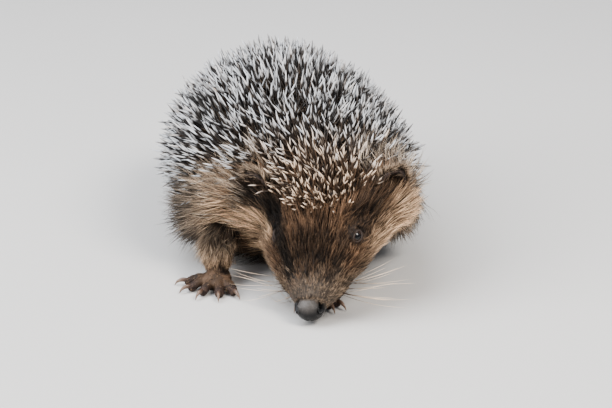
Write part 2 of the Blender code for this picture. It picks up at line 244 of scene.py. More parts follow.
def spinyShare(along, around, soft=5.0):
    return blendShare(liftOf(around) - table(quillEdge, along), -soft, soft)


def depthAt(along, around):
    s, lift = coatDepths, liftOf(around)
    fur = table(s["fur"], along)
    fur = fur * (1 - (1 - s["belly"]) * blendShare(-lift, *s["bellyLift"])
                 * blendShare(along, *s["bellyAlong"]))
    return fur + (table(s["quills"], along) - fur) * spinyShare(along, around, s["border"])


# a point of the skin, under the coat
def skinAt(along, around):
    s = coatDepths
    outer = outlineAt(along, around)
    middle = lineAt(np.minimum(along, s["lastMiddle"]))
    ray = outer - middle
    reach = lengthOf(ray)
    cheek = spanShare(along, *s["cheekAlong"]) * blendShare(np.cos(around), *s["cheekSide"])
    depth = depthAt(along, around) + s["leftCheek"] * cheek * fadeShare(liftOf(around), *s["cheekTop"])
    for sign in bothSides.values():
        gap = lengthOf(outer - (noseTip + headAxes @ (eyePlace * (sign, 1, 1))))
        depth = depth * (s["lid"] + (1 - s["lid"]) * blendShare(gap, *s["lidReach"]))
    return middle + ray * (1 - np.minimum(depth / np.maximum(reach, 1e-6), 0.9))[..., None]


frameSteps = {"along": 0.7, "around": 0.03, "first": 4, "last": 171.8}  # for slopes, in mm and radians


# the skin's point, outward normal and backward direction there
def skinFrame(along, around):
    s = frameSteps
    a, b = np.maximum(along - s["along"], s["first"]), np.minimum(along + s["along"], s["last"])
    back = unit(skinAt(b, around) - skinAt(a, around))
    turn = unit(skinAt(along, around + s["around"]) - skinAt(along, around - s["around"]))
    normal = unit(np.cross(back, turn))
    return skinAt(along, around), normal, back


# from the frame's axes to the skull's: out to the left, back and up from the nose tip
def inSkull(points):
    return (points - noseTip) @ headAxes


def fromSkull(points):
    return noseTip + np.asarray(points, float) @ headAxes.T


# the soft nose leans a little
noseTurn = turnAbout("Z", math.radians(6.0)) @ turnAbout("Y", math.radians(11.5))
noseMiddle = np.array((0.0, 4.4, -0.5))


# from the skull's axes to the nose's own
def inNose(q):
    return (q - noseMiddle) @ noseTurn + noseMiddle


def noseReach(q, sizes):
    return lengthOf((q - noseMiddle) / sizes)


# the same points, brought to the left side
def mirrored(q):
    return np.abs(q * (1, 0, 0)) + q * (0, 1, 1)


# how far points are from a straight stretch, and the share of it that they lie at
def stretchGap(points, start, end):
    span = end - start
    t = np.clip(((points - start) @ span) / (span @ span), 0, 1)
    return lengthOf(points - start - t[:, None] * span), t


# the same for a path of several stretches
def segmentGap(points, ends):
    best, where = np.full(len(points), 1e9), np.zeros(len(points))
    ends = np.array(ends, float)
    for k in range(len(ends) - 1):
        gap, t = stretchGap(points, ends[k], ends[k + 1])
        where = np.where(gap < best, (k + t) / (len(ends) - 1), where)
        best = np.minimum(best, gap)
    return best, where


print("frame loaded: nose tip at", np.round(noseTip, 2), "mm")

# the markings, the same for the skin and the coat
markShape = {
    # the dark marks are stronger on the right as painted shade: that side of the face is turned from the
    # light
    "rightSide": (-4, 4),  # across the face: the dark marks are stronger on the right
    # from behind the eye to the nose pad
    "eyeBand": ((16.5, 31.5, 10.5), (13.9, 26.4, 9.4), (9.6, 19.0, 8.4), (6.8, 12.0, 5.4)),
    # painted shade: the band is wider and darker on the right
    "bandSize": (6.0, 4.6, 3.0, 2.1), "bandShadeRight": 0.2, "bandEdge": (0.45, 1.15), "bandToneAndShade": (0.6, 0.98),
    # in front of and under the ear, darker on the right as painted shade
    "earPlace": (24.5, 36.5, 13.0), "earSize": 8.5, "earEdge": (0.5, 1.05), "earToneAndShade": (0.68, 0.95),
    "bridgeTone": 0.72, "bridgeSide": (4.0, 10.0), "bridgeBack": (9, 15, 19, 26),
    "headEnd": (40, 52), "patches": 1.6, "patchSize": 5,
    "ashTip": 0.9, "ashTipBack": (6.5, 17.5), "ashJaw": 0.8, "ashJawLift": (-26, 6), "ashJawBack": (17, 27),
    # the cheeks' cream fades on the underside as painted shade
    "cheekAlong": (18, 30), "cheekLift": (6, 34), "cheekUnder": (45, 80), "cheekShade": 0.4,
    "flankAlong": (45, 61), "flankCream": 0.32, "flankAsh": 0.3, "flankDun": 0.46,
    # painted shade on the hem of the flanks, the throat and the chest, low down and under the head
    "hemShade": 0.85, "hemHeight": (-38, -22), "hemAlong": (52, 64), "throatLift": (34, 60),
    "throatAlong": (28, 40),
    "chestHeight": (-22, -13), "chestAlong": (38, 50),
}


# shares of each tone at points of the body
def markingsAt(points, along, around):
    s, q, lift = markShape, inSkull(points), liftOf(around)
    halved = mirrored(q)
    head = fadeShare(along, *s["headEnd"])
    # painted shade: the eye band and the ear's patch grow wider and darker towards the right, the side turned
    # from the light
    rightSide = blendShare(-q[:, 0], *s["rightSide"])
    dusk = np.zeros(len(points))
    knots, sizes = np.array(s["eyeBand"]), s["bandSize"]
    for k in range(len(knots) - 1):
        gap, t = stretchGap(halved, knots[k], knots[k + 1])
        size = between(sizes[k:k + 2], t) * (1 + s["bandShadeRight"] * rightSide)
        dusk = np.maximum(dusk, fadeShare(gap / size, *s["bandEdge"]))
    ear = lengthOf(halved - np.array(s["earPlace"])) / s["earSize"]
    dusk = np.maximum(dusk * between(s["bandToneAndShade"], rightSide),
                      between(s["earToneAndShade"], rightSide) * fadeShare(ear, *s["earEdge"]))
    bridge = fadeShare(halved[:, 0], *s["bridgeSide"]) * spanShare(q[:, 1], *s["bridgeBack"])
    dusk = np.maximum(dusk, s["bridgeTone"] * bridge * head * (lift > 0))
    patchy = s["patches"] * drift(points, s["patchSize"], 3)
    ash = s["ashTip"] * fadeShare(q[:, 1] + patchy, *s["ashTipBack"])
    jaw = s["ashJaw"] * blendShare(-lift, *s["ashJawLift"])
    ash = ash + jaw * fadeShare(q[:, 1] + patchy, *s["ashJawBack"])
    cheek = blendShare(along + patchy, *s["cheekAlong"]) * fadeShare(lift + 3 * patchy, *s["cheekLift"])
    # painted shade: less cream on the underside
    cheek = cheek * (1 - s["cheekShade"] * blendShare(-lift, *s["cheekUnder"]))
    flank = blendShare(along, *s["flankAlong"])
    # painted shade low on the flanks, under the throat and on the chest
    hem = blendShare(-points[:, 2], *s["hemHeight"]) * blendShare(along, *s["hemAlong"])
    throat = blendShare(-lift, *s["throatLift"]) * blendShare(along, *s["throatAlong"])
    chest = blendShare(-points[:, 2], *s["chestHeight"]) * blendShare(along, *s["chestAlong"])
    shaded = s["hemShade"] * np.maximum(hem, np.maximum(throat, chest))
    return {"cream": np.clip(cheek * between((1, s["flankCream"]), flank), 0, 1),
            "ash": np.clip(ash * head + s["flankAsh"] * flank, 0, 1), "dun": s["flankDun"] * flank,
            "dusk": np.clip(np.maximum(dusk * head, shaded), 0, 1)}


def setPoints(mesh, points):
    mesh.vertices.foreach_set("co", (np.asarray(points, np.float32) * mm).ravel())


def meshOf(name, points, corners, counts, material):
    mesh = bpy.data.meshes.new(name)
    mesh.vertices.add(len(points))
    setPoints(mesh, points)
    mesh.loops.add(len(corners))
    mesh.loops.foreach_set("vertex_index", np.asarray(corners, np.int32))
    mesh.polygons.add(len(counts))
    starts = np.concatenate([[0], np.cumsum(counts)[:-1]])
    mesh.polygons.foreach_set("loop_start", np.asarray(starts, np.int32))
    mesh.update(calc_edges=True)
    mesh.validate()
    mesh.shade_smooth()
    mesh.materials.append(material)
    return mesh


def meshOfFaces(name, points, faces, material):
    return meshOf(name, points, [i for face in faces for i in face], [len(face) for face in faces], material)


def addPiece(name, mesh, replaced=()):
    piece = bpy.data.objects.new(name, mesh)
    bpy.context.scene.collection.objects.link(piece)
    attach(piece, "root")
    if replaced:
        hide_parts(*replaced)
    return piece


def setMark(mesh, name, values):
    values = np.asarray(values, np.float32)
    if values.ndim == 2:
        mesh.attributes.new(name, "FLOAT_VECTOR", "POINT").data.foreach_set("vector", values.ravel())
    else:
        mesh.attributes.new(name, "FLOAT", "POINT").data.foreach_set("value", values)


# closed shape through rows of points of equal count, with a pole at each end
def closedRows(rows):
    rows = np.asarray(rows, float)
    count, sides = rows.shape[:2]
    points = np.concatenate([rows.reshape(-1, 3), [rows[0].mean(0), rows[-1].mean(0)]])
    faces = []
    for k in range(sides):
        n = (k + 1) % sides
        faces += [(j * sides + k, j * sides + n, (j + 1) * sides + n, (j + 1) * sides + k)
                  for j in range(count - 1)]
        faces += [(n, k, count * sides),
                  ((count - 1) * sides + k, (count - 1) * sides + n, count * sides + 1)]
    return points, faces


# rows round a path of (x, y, z, radius), with rounded ends
def tubeRows(path, sides=20, spacing=0.8, squash=1.0):
    path = np.array(path, float)
    knots = np.concatenate([[0], np.cumsum(lengthOf(np.diff(path[:, :3], axis=0)))])
    count = max(4, int(knots[-1] / spacing) + 1)
    rows = smoothCurve(knots, path, np.linspace(0, knots[-1], count))
    tangents = unit(np.gradient(rows[:, :3], axis=0))
    angles = np.linspace(0, 2 * np.pi, sides, endpoint=False)
    caps = np.radians((75, 50, 25))

    def ring(k, cap=0.0, way=1):
        tangent, radius = tangents[k], rows[k, 3] * math.cos(cap)
        centre = rows[k, :3] + way * tangent * rows[k, 3] * math.sin(cap)
        across = unit(np.cross(tangent, (0.0, 0.0, 1.0) if abs(tangent[2]) < 0.9 else (1.0, 0.0, 0.0)))
        over = np.cross(tangent, across)
        return centre + radius * (np.cos(angles)[:, None] * across + squash * np.sin(angles)[:, None] * over)

    made = [ring(0, cap, -1) for cap in caps] + [ring(k) for k in range(count)]
    return np.array(made + [ring(-1, cap) for cap in caps[::-1]])


def ballRows(centre, axes, sizes, count=28, sides=36):
    t = np.linspace(0.04, np.pi - 0.04, count)
    p = np.linspace(0, 2 * np.pi, sides, endpoint=False)
    local = np.stack([np.sin(t)[:, None] * np.cos(p), np.repeat(-np.cos(t)[:, None], sides, 1),
                      np.sin(t)[:, None] * np.sin(p)], -1) * np.asarray(sizes)
    return np.asarray(centre) + local @ np.asarray(axes).T


legPaths = {  # x, y, z and radius, from inside the body to the wrist or ankle
    "foreleg_right": ((-19, 62, 24, 8.4), (-26, 54, 17, 6.6), (-30, 45.4, 11.5, 4.7), (-31, 41.0, 7.6, 4.3)),
    "foreleg_left": ((20, 56, 24, 8.4), (16, 45, 15.5, 6.4), (5, 32, 9.8, 4.5), (1.2, 25.8, 7.0, 4.2)),
    "hindleg_right": ((-20, 125, 24, 10.5), (-24, 130, 15, 7.6), (-26, 136, 8.8, 5.0), (-26, 138, 6.6, 4.6)),
    "hindleg_left": ((20, 130, 24, 10.5), (24, 136, 15, 7.6), (26, 142, 8.8, 5.0), (26, 144, 6.6, 4.6)),
}
tailPath = ((0, 140, 16, 4.0), (0, 150, 12.8, 3.2), (0, 156, 10.6, 2.1), (0, 159.4, 9.3, 1.3))
limbPaths = {**legPaths, "tail": tailPath}
soleShapes = {
    "fore": {"length": 11.0, "width": 10.4, "height": 8.0, "toe": 6.6, "claw": 4.8},
    "hind": {"length": 22.0, "width": 9.8, "height": 8.4, "toe": 6.8, "claw": 4.6},
}
pawPlaces = {  # the palm's middle, the heading to the animal's right and the toes' spread
    "forepaw_right": ("fore", (-31.4, 37.6), 38, 122),
    "forepaw_left": ("fore", (0.6, 21.6), 2, 64),
    "hindpaw_right": ("hind", (-26.5, 129), 12, 44),
    "hindpaw_left": ("hind", (26.5, 135), -12, 44),
}
toeShape = {
    "lengths": (0.84, 0.97, 1.0, 0.97, 0.86), "radius": 1.62,  # shares for each toe, from the inner one out
    "profile": ((0, 3.1, 0.95), (0.38, 3.05, 1.04), (0.62, 2.75, 0.88), (0.86, 2.0, 1.0), (1, 1.6, 0.9)),
    "rootHeight": 3.2, "rootAhead": 0.22, "rootAcross": 0.4,
}


def shifted(path):
    path = np.array(path, float)
    path[:, :3] += moved
    return path


# one toe's path and the direction it points
def toePath(name, k):
    s = toeShape
    kind, at, heading, fan = pawPlaces[name]
    sole = soleShapes[kind]
    fanShare = (k - 2) / 4 * (1 if name.endswith("right") else -1)
    turn, heading = math.radians(heading + fan * fanShare), math.radians(heading)
    ahead = np.array((-math.sin(turn), -math.cos(turn), 0))
    forward = np.array((-math.sin(heading), -math.cos(heading), 0))
    across = np.array((-forward[1], forward[0], 0))
    root = np.array((*at, s["rootHeight"])) + forward * (sole["length"] - sole["width"]) / 2
    root = root + ahead * sole["width"] * s["rootAhead"] - across * sole["width"] * s["rootAcross"] * fanShare
    reach = sole["toe"] * s["lengths"][k]
    path = [(*(root + ahead * reach * share)[:2], height, s["radius"] * size)
            for share, height, size in s["profile"]]
    return shifted(path), ahead, sole


def pawRows(name):
    kind, at, heading, _ = pawPlaces[name]
    sole = soleShapes[kind]
    axes = turnAbout("Z", np.array(-math.radians(heading)))
    centre = np.array((*at, 2.8)) + moved
    return ballRows(centre, axes,
                    np.array((sole["width"], sole["length"], sole["height"])) / 2 - (0.3, 0.3, 0.1))


earShape = {
    "along": 42.6, "around": {"left": 33.0, "right": 40.0}, "lift": -1.2,
    "size": (4.7, 2.6, 5.8),  # half width, thickness and height of the cup
    "wall": 1.0,
    "tip": (0.66, 0.3, 0.66), "facing": (0.5, 0.84),  # the ways it stands and opens, in the head's axes
}


# middle and axes of an ear: width, facing and tip
def earFrame(side):
    sign = bothSides[side]
    along, around = earShape["along"], math.radians(earShape["around"][side])
    axes = axesAt(along)
    row = smoothCurve(sectionRows[:, 0], sectionRows[:, 1:], along)
    out = math.cos(around) ** (2 / row[3]) * (row[0] + earShape["lift"])
    up = math.sin(around) ** (2 / row[3]) * (row[1] + earShape["lift"])
    centre = lineAt(along) + axes[:, 0] * out * sign + axes[:, 2] * up
    sideways, back, upward = earShape["tip"]
    tip = unit(axes[:, 0] * sideways * sign + axes[:, 1] * back + axes[:, 2] * upward)
    sideways, ahead = earShape["facing"]
    facing = axes[:, 0] * sideways * sign - axes[:, 1] * ahead
    facing = unit(facing - tip * (facing @ tip))
    return centre, np.stack([np.cross(tip, facing), facing, tip], 1)


# a cupped ear: up the back of the cup, over the rim and down inside it
def earRows(side):
    centre, axes = earFrame(side)
    a, b, c = earShape["size"]
    wall, count = earShape["wall"], 40
    p = np.linspace(0, 2 * np.pi, count, endpoint=False)

    def layer(t, a, b, c, forward, ripple):
        return np.stack([a * math.sin(t) * np.cos(p) * ripple,
                         np.full(count, forward - b * math.cos(t) - 0.4),
                         c * math.sin(t) * np.sin(p) * ripple], 1)

    rows = [layer(t, a, b, c, 0.0, 1 + 0.03 * np.sin(5 * p) * math.sin(t) ** 2)
            for t in np.linspace(0.06, 1.12, 12) * np.pi / 2]
    rows += [layer(t, a - wall, b - 0.2, c - wall, wall * 0.9, 1 + 0.05 * np.sin(3 * p + 1) * math.sin(t))
             for t in np.linspace(1.08, 0.06, 11) * np.pi / 2]
    return centre + np.array(rows) @ axes.T


# how far points are from an ear's middle, in shares of the sizes
def earReach(points, side, sizes, forward=0.0):
    centre, axes = earFrame(side)
    return lengthOf(((points - centre) @ axes - (0, forward, 0)) / sizes)


skinSettings = {
    "voxel": 0.62, "smoothing": 5, "rings": 120, "rows": (4, 164, 1.6), "rumpRows": (0.12, 1, 10),
    "noseSize": (5.0, 4.9, 4.5), "eyeRadius": 2.6, "lidLift": 0.35,
    "eyeOpening": (42, 24),  # half angles of the opening along and across the eye
    "fineEyes": (5.5, 4.6), "fineNose": 7.0, "fineNoseBack": 3.5,  # how far finer faces reach
    "nosePad": (5.4, 5.3, 4.9), "padEdge": (5.0, 5.5), "earSize": (6.4, 5.0, 7.6),
    "lidColour": (1.25, 1.6), "lidColourReach": 3.8,
    # a painted highlight on the top of the nose pad, and painted shade inside the nostrils
    "noseLight": (0, 3.0, 3.6), "noseLightReach": (1.2, 4.2), "hollow": (0.6, 1.1, 0.9, 1.7),
    "hairWaves": (0.16, 14.0),  # along and round the body, for the short hair in the skin's colour
}


def eyeFrame(side):
    sign = bothSides[side]
    low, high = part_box(f"eye_{side}")
    centre = np.array((low + high) / 2) / mm
    looks = unit(headAxes @ (np.array(bodyShape["eyeLooks"]) * (sign, 1, 1)))
    along = unit(headAxes[:, 1] - looks * (looks @ headAxes[:, 1]))  # from the inner corner to the outer
    return centre, looks, along, np.cross(looks, along)


def joinShells(shells):
    points, faces, start = [], [], 0
    for shellPoints, shellFaces in shells:
        points.append(shellPoints)
        faces += [tuple(i + start for i in face) for face in shellFaces]
        start += len(shellPoints)
    mesh = bpy.data.meshes.new("shells")
    mesh.from_pydata((np.concatenate(points) * mm).tolist(), [], faces)
    return mesh


def makeSkinMesh():
    end, rows = bodyShape["rumpEnd"], skinSettings["rows"]
    rump = np.cos(np.linspace(*skinSettings["rumpRows"]) * np.pi / 2) ** 1.5
    along = np.concatenate([np.arange(*rows), end - (end - rows[1]) * rump])
    around = np.linspace(0, 2 * np.pi, skinSettings["rings"], endpoint=False)
    body = skinAt(along[:, None], around[None, :])
    shells = [closedRows(body)]
    shells.append(closedRows(ballRows(fromSkull(noseMiddle), headAxes @ noseTurn, skinSettings["noseSize"])))
    for side in bothSides:
        centre = eyeFrame(side)[0]
        lid = skinSettings["eyeRadius"] + skinSettings["lidLift"]
        shells.append(closedRows(ballRows(centre, np.eye(3), (lid, lid, lid))))
        shells.append(closedRows(earRows(side)))
    for path in legPaths.values():
        shells.append(closedRows(tubeRows(shifted(path), 28)))
    shells.append(closedRows(tubeRows(shifted(tailPath), 20)))
    for name in pawPlaces:
        shells.append(closedRows(pawRows(name)))
        shells += [closedRows(tubeRows(toePath(name, k)[0], 16, 0.5)) for k in range(5)]
    rough = bpy.data.objects.new("roughSkin", joinShells(shells))
    bpy.context.scene.collection.objects.link(rough)
    remesh = rough.modifiers.new("oneSkin", "REMESH")
    remesh.mode = "VOXEL"
    remesh.voxel_size = skinSettings["voxel"] * mm
    graph = bpy.context.evaluated_depsgraph_get()
    mesh = bpy.data.meshes.new_from_object(rough.evaluated_get(graph))
    bpy.data.objects.remove(rough)
    return mesh


def pointsOf(mesh):
    co = np.zeros(len(mesh.vertices) * 3, np.float32)
    mesh.vertices.foreach_get("co", co)
    return co.reshape(-1, 3).astype(float) / mm


def smoothPoints(mesh, points, rounds, share=0.5, keep=None):
    pairs = np.zeros(len(mesh.edges) * 2, np.int32)
    mesh.edges.foreach_get("vertices", pairs)
    pairs = pairs.reshape(-1, 2)
    count = np.bincount(pairs.ravel(), minlength=len(points))[:, None]
    for k in range(rounds * 2):
        total = np.zeros_like(points)
        for axis in range(3):
            total[:, axis] = np.bincount(pairs[:, 0], points[pairs[:, 1], axis], len(points))
            total[:, axis] += np.bincount(pairs[:, 1], points[pairs[:, 0], axis], len(points))
        step = (total / np.maximum(count, 1) - points) * (share if k % 2 == 0 else -share * 1.04)
        points = points + (step if keep is None else step * keep[:, None])
    return points


# finer faces near some spots
def refine(mesh, spots):
    shape = bmesh.new()
    shape.from_mesh(mesh)
    for centre, radius in spots:
        middle = Vector(centre) * mm
        edges = [e for e in shape.edges if all((v.co - middle).length < radius * mm for v in e.verts)]
        bmesh.ops.subdivide_edges(shape, edges=edges, cuts=1, use_grid_fill=True, smooth=0)
    bmesh.ops.triangulate(shape, faces=[f for f in shape.faces if len(f.verts) > 4])
    shape.to_mesh(mesh)
    shape.free()


# the lids' places are shares of their opening, and the rest is in mm in the skull's or the nose's axes
faceDetails = {
    "rim": (0.86, 1.06),
    "roll": (0.16, 1.2, 0.12), "crease": (0.12, 1.6, 0.1),  # the lids: depth, place and width
    "socket": 0.6, "lidReach": 2.2, "lidEnd": (1.7, 2.3),
    "nostril": ((3.55, 4.7, 2.6), (4.1, 3.9, 1.9), (4.05, 2.9, 1.4), (3.6, 2.2, 1.2)),  # the left one
    "nostrilDepth": 2.2, "nostrilEdge": (0.4, 1.25), "nostrilEnd": 0.45, "nostrilRim": (0.35, 1.4, 0.45),
    "groove": (0.3, 0.42), "grooveTop": (-1.0, 1.0), "padRim": (0.3, 4.9, 0.45),
    "nostrilBack": 4.5, "grooveBack": 4, "padReach": 7, "mouthSpan": (6, 25),  # where each of them ends
    "mouth": ((6.4, -2.6), (15, -3.9), (25, -5.2)), "mouthDepth": 0.7, "mouthWidth": 0.55,
}


# how far points are from an eye's middle, their angle off its look, and the lids' opening that way
def roundEye(points, side):
    wide, tall = (math.radians(a) for a in skinSettings["eyeOpening"])
    centre, looks, along, over = eyeFrame(side)
    d = points - centre
    r = lengthOf(d)
    theta = np.arccos(np.clip((d @ looks) / np.maximum(r, 1e-6), -1, 1))
    phi = np.arctan2(d @ over, d @ along)
    return d, r, theta, wide * tall / np.sqrt((tall * np.cos(phi)) ** 2 + (wide * np.sin(phi)) ** 2)


# lids, nostrils, the pad's groove and rim, the mouth and flat soles
def shapeDetails(points):
    s, radius, lift = faceDetails, skinSettings["eyeRadius"], skinSettings["lidLift"]
    for side in bothSides:
        d, r, theta, opening = roundEye(points, side)
        rim = blendShare(theta, opening * s["rim"][0], opening * s["rim"][1])
        roll, crease = (depth * bell(theta, opening * at, width)
                        for depth, at, width in (s["roll"], s["crease"]))
        target = radius - s["socket"] + (s["socket"] + lift * 0.8) * rim + roll - crease
        first, last = (opening * share for share in s["lidEnd"])
        near = (r < radius + s["lidReach"]) * fadeShare(theta, first, last)
        points = points + unit(d) * ((target - r) * near)[:, None]
    q = inNose(inSkull(points))
    gap, where = segmentGap(mirrored(q), s["nostril"])
    push = s["nostrilDepth"] * fadeShare(gap, *s["nostrilEdge"]) * (1 - s["nostrilEnd"] * where)
    depth, at, width = s["nostrilRim"]
    rimUp = depth * bell(gap, at, width) * (q[:, 1] < s["nostrilBack"])
    depth, width = s["groove"]
    groove = depth * bell(q[:, 0], 0, width) * fadeShare(q[:, 2], *s["grooveTop"])
    groove = groove * (q[:, 1] < s["grooveBack"])
    depth, at, width = s["padRim"]
    border = depth * bell(q[:, 1], at, width) * (lengthOf(q[:, (0, 2)]) < s["padReach"])
    inward = unit(noseMiddle - q)
    points = points + (inward * (push - rimUp + groove + border)[:, None]) @ (headAxes @ noseTurn).T
    q = inSkull(points)
    gap = segmentGap(mirrored(q)[:, (1, 2)], s["mouth"])[0]
    first, last = s["mouthSpan"]
    line = s["mouthDepth"] * bell(gap, 0, s["mouthWidth"]) * (q[:, 1] > first) * (q[:, 1] < last)
    points = points - (unit(q * (1, 0.1, 1)) * line[:, None]) @ headAxes.T
    points[:, 2] = np.maximum(points[:, 2], 0.0)  # flat soles
    return points


def newFinish(name):
    made = bpy.data.materials.new(name)
    made.use_nodes = True
    tree = made.node_tree
    return made, tree, tree.nodes["Principled BSDF"]


def addNode(tree, kind, settings=None, inputs=None):
    node = tree.nodes.new(kind)
    for key, value in (settings or {}).items():
        setattr(node, key, value)
    fill(tree, node, inputs or {})
    return node


def objectPlace(tree):
    return addNode(tree, "ShaderNodeTexCoord").outputs["Object"]


def feed(tree, socket, value):
    if isinstance(value, bpy.types.NodeSocket):
        tree.links.new(value, socket)
    elif isinstance(value, (tuple, list)) and len(value) == 3 and socket.type == "RGBA":
        socket.default_value = (*value, 1)
    else:
        socket.default_value = value


def fill(tree, node, values):
    for name, value in values.items():
        feed(tree, node.inputs[name], value)


def mark(tree, name, vector=False):
    node = addNode(tree, "ShaderNodeAttribute", {"attribute_name": name})
    return node.outputs["Vector" if vector else "Fac"]


def sums(tree, operation, a, b):
    return addNode(tree, "ShaderNodeMath", {"operation": operation}, {0: a, 1: b}).outputs[0]


def ranged(tree, value, low=0.0, high=1.0, toLow=0.0, toHigh=1.0):
    inputs = dict(enumerate((value, low, high, toLow, toHigh)))
    return addNode(tree, "ShaderNodeMapRange", {"interpolation_type": "SMOOTHSTEP"}, inputs).outputs[0]


def mixed(tree, share, a, b, mode="MIX"):
    settings = {"data_type": "RGBA", "blend_type": mode}
    return addNode(tree, "ShaderNodeMix", settings, {0: share, 6: a, 7: b}).outputs[2]


def noise(tree, vector, scale, detail=3.0, rough=0.55):
    inputs = {"Vector": vector, "Scale": scale, "Detail": detail, "Roughness": rough}
    return addNode(tree, "ShaderNodeTexNoise", None, inputs).outputs["Fac"]


def cellGaps(tree, vector, scale, feature):
    inputs = {"Vector": vector, "Scale": scale}
    return addNode(tree, "ShaderNodeTexVoronoi", {"feature": feature}, inputs).outputs["Distance"]


def bumped(tree, height, strength, distance):
    inputs = {"Strength": strength, "Distance": distance, "Height": height}
    return addNode(tree, "ShaderNodeBump", None, inputs).outputs[0]


# root and tip of each tone of hair
furTones = {
    "rust": ((0.011, 0.007, 0.005), (0.22, 0.135, 0.083)),
    "cream": ((0.042, 0.025, 0.015), (0.93, 0.68, 0.47)),
    "ash": ((0.020, 0.015, 0.011), (0.27, 0.205, 0.15)),
    "dun": ((0.018, 0.015, 0.012), (0.60, 0.55, 0.48)),
    "dusk": ((0.004, 0.003, 0.0025), (0.030, 0.021, 0.014)),
}


furSettings = {
    "rise": (0.05, 0.85), "light": ((0.10, 0.095, 0.09), (1.75, 1.70, 1.62)),  # darkest and lightest hairs
    "roughness": 0.5, "specular": 0.3,
}


# the coat's colour at a share of the way from root to tip
def toneColour(tree, share):
    colour = mixed(tree, share, *furTones["rust"])
    for name in ("cream", "ash", "dun", "dusk"):
        colour = mixed(tree, mark(tree, name), colour, mixed(tree, share, *furTones[name]))
    return colour


def furFinish():
    s = furSettings
    made, tree, shader = newFinish("furHair")
    colour = toneColour(tree, ranged(tree, mark(tree, "along"), *s["rise"]))
    light = mixed(tree, ranged(tree, mark(tree, "shade")), *s["light"])
    colour = mixed(tree, 1.0, colour, light, "MULTIPLY")
    fill(tree, shader, {"Base Color": colour, "Roughness": s["roughness"],
                        "Specular IOR Level": s["specular"]})
    return made


quillTones = {
    "base": (0.30, 0.225, 0.16), "band": (0.024, 0.018, 0.014), "warmBand": (0.150, 0.092, 0.055),
    "tip": (0.58, 0.59, 0.60), "warmTip": (0.72, 0.53, 0.365),
    "bandStart": (0.30, 0.44), "bandEnd": (0.76, 0.84), "sway": 0.05,  # along the quill
    "light": ((0.30, 0.29, 0.28), (1.12, 1.12, 1.12)), "roughness": (0.34, 0.5), "specular": 0.5,
}


def quillFinish():
    s = quillTones
    made, tree, shader = newFinish("quillHorn")
    shade, warm = mark(tree, "shade"), mark(tree, "warm")
    place = sums(tree, "ADD", mark(tree, "along"), ranged(tree, shade, 0.0, 1.0, -s["sway"], s["sway"]))
    band, tip = mixed(tree, warm, s["band"], s["warmBand"]), mixed(tree, warm, s["tip"], s["warmTip"])
    colour = mixed(tree, ranged(tree, place, *s["bandStart"]), s["base"], band)
    colour = mixed(tree, ranged(tree, place, *s["bandEnd"]), colour, tip)
    light = mixed(tree, ranged(tree, shade), *s["light"])
    colour = mixed(tree, 1.0, colour, light, "MULTIPLY")
    fill(tree, shader, {"Base Color": colour, "Specular IOR Level": s["specular"],
                        "Roughness": ranged(tree, shade, 0.0, 1.0, *s["roughness"])})
    return made


skinTones = {
    "bare": ((0.024, 0.015, 0.012), (0.088, 0.056, 0.044)),
    "ear": ((0.016, 0.011, 0.008), (0.070, 0.045, 0.034)),
    # the nose pad: its own dark grey and, lighter, a painted sheen on its top; the nostrils' near black below
    # is painted shade
    "nose": ((0.010, 0.0095, 0.0095), (0.118, 0.106, 0.096)),
    # the skin under the quills: its dark undercoat, with painted shade from the quills over it
    "underQuillsAndShade": (0.035, 0.024, 0.017), "hollow": (0.002, 0.0018, 0.0018), "lid": (0.050, 0.036, 0.029),
    "hairScale": 2.6, "mottleScale": 900.0, "creaseScale": 1500.0, "pebbleScale": 2600.0,
    "roughness": (0.62, 0.28), "specular": 0.3,  # of the skin and of the moist nose
    "bump": 0.6, "bumpDepth": 0.00035, "pebbleHeight": 0.2, "creaseHeight": 0.5,
}


def skinFinish():
    s = skinTones
    made, tree, shader = newFinish("hedgehogSkin")
    place = objectPlace(tree)
    # short hair lying back along the body
    streaks = noise(tree, mark(tree, "lay", True), s["hairScale"], 4.0, 0.62)
    colour = toneColour(tree, ranged(tree, streaks, 0.36, 0.78, 0.0, 0.62))
    mottle = noise(tree, place, s["mottleScale"])
    crack = ranged(tree, cellGaps(tree, place, s["creaseScale"], "DISTANCE_TO_EDGE"), 0.0, 0.09)
    bare = mixed(tree, crack, s["bare"][0], mixed(tree, ranged(tree, mottle, 0.3, 0.7), *s["bare"]))
    ear = mixed(tree, ranged(tree, mottle, 0.35, 0.65), *s["ear"])
    dome = ranged(tree, cellGaps(tree, place, s["pebbleScale"], "F1"), 0.15, 0.6, 1.0, 0.0)
    # painted sheen on the top of the nose pad
    lit = sums(tree, "MULTIPLY", mark(tree, "paintedNoseSheen"), ranged(tree, dome, 0.0, 1.0, 0.72, 1.0))
    # under the quills the skin takes its undercoat colour and painted shade
    layers = {"spiny": s["underQuillsAndShade"], "bare": bare, "earShare": ear,
              "noseShare": mixed(tree, lit, *s["nose"]),
              # painted shade inside the nostrils
              "hollow": s["hollow"], "lids": s["lid"]}
    for name, layer in layers.items():
        colour = mixed(tree, mark(tree, name), colour, layer)
    nose = mark(tree, "noseShare")
    height = sums(tree, "MULTIPLY", streaks, sums(tree, "SUBTRACT", 1.0, nose))
    for detail, share, size in ((dome, nose, s["pebbleHeight"]),
                                (crack, mark(tree, "bare"), s["creaseHeight"])):
        height = sums(tree, "ADD", height,
                      sums(tree, "MULTIPLY", detail, sums(tree, "MULTIPLY", share, size)))
    fill(tree, shader, {"Base Color": colour, "Roughness": ranged(tree, nose, 0.0, 1.0, *s["roughness"]),
                        "Normal": bumped(tree, height, s["bump"], s["bumpDepth"]),
                        "Specular IOR Level": s["specular"]})
    return made


# a net of places over the body, for finding where points of the finished skin lie
loftAlong = np.arange(4, 171, 1.5)
loftAround = np.linspace(-np.pi, np.pi, 96, endpoint=False)
loftTree = nearnessTree(skinAt(loftAlong[:, None], loftAround[None, :]).reshape(-1, 3))


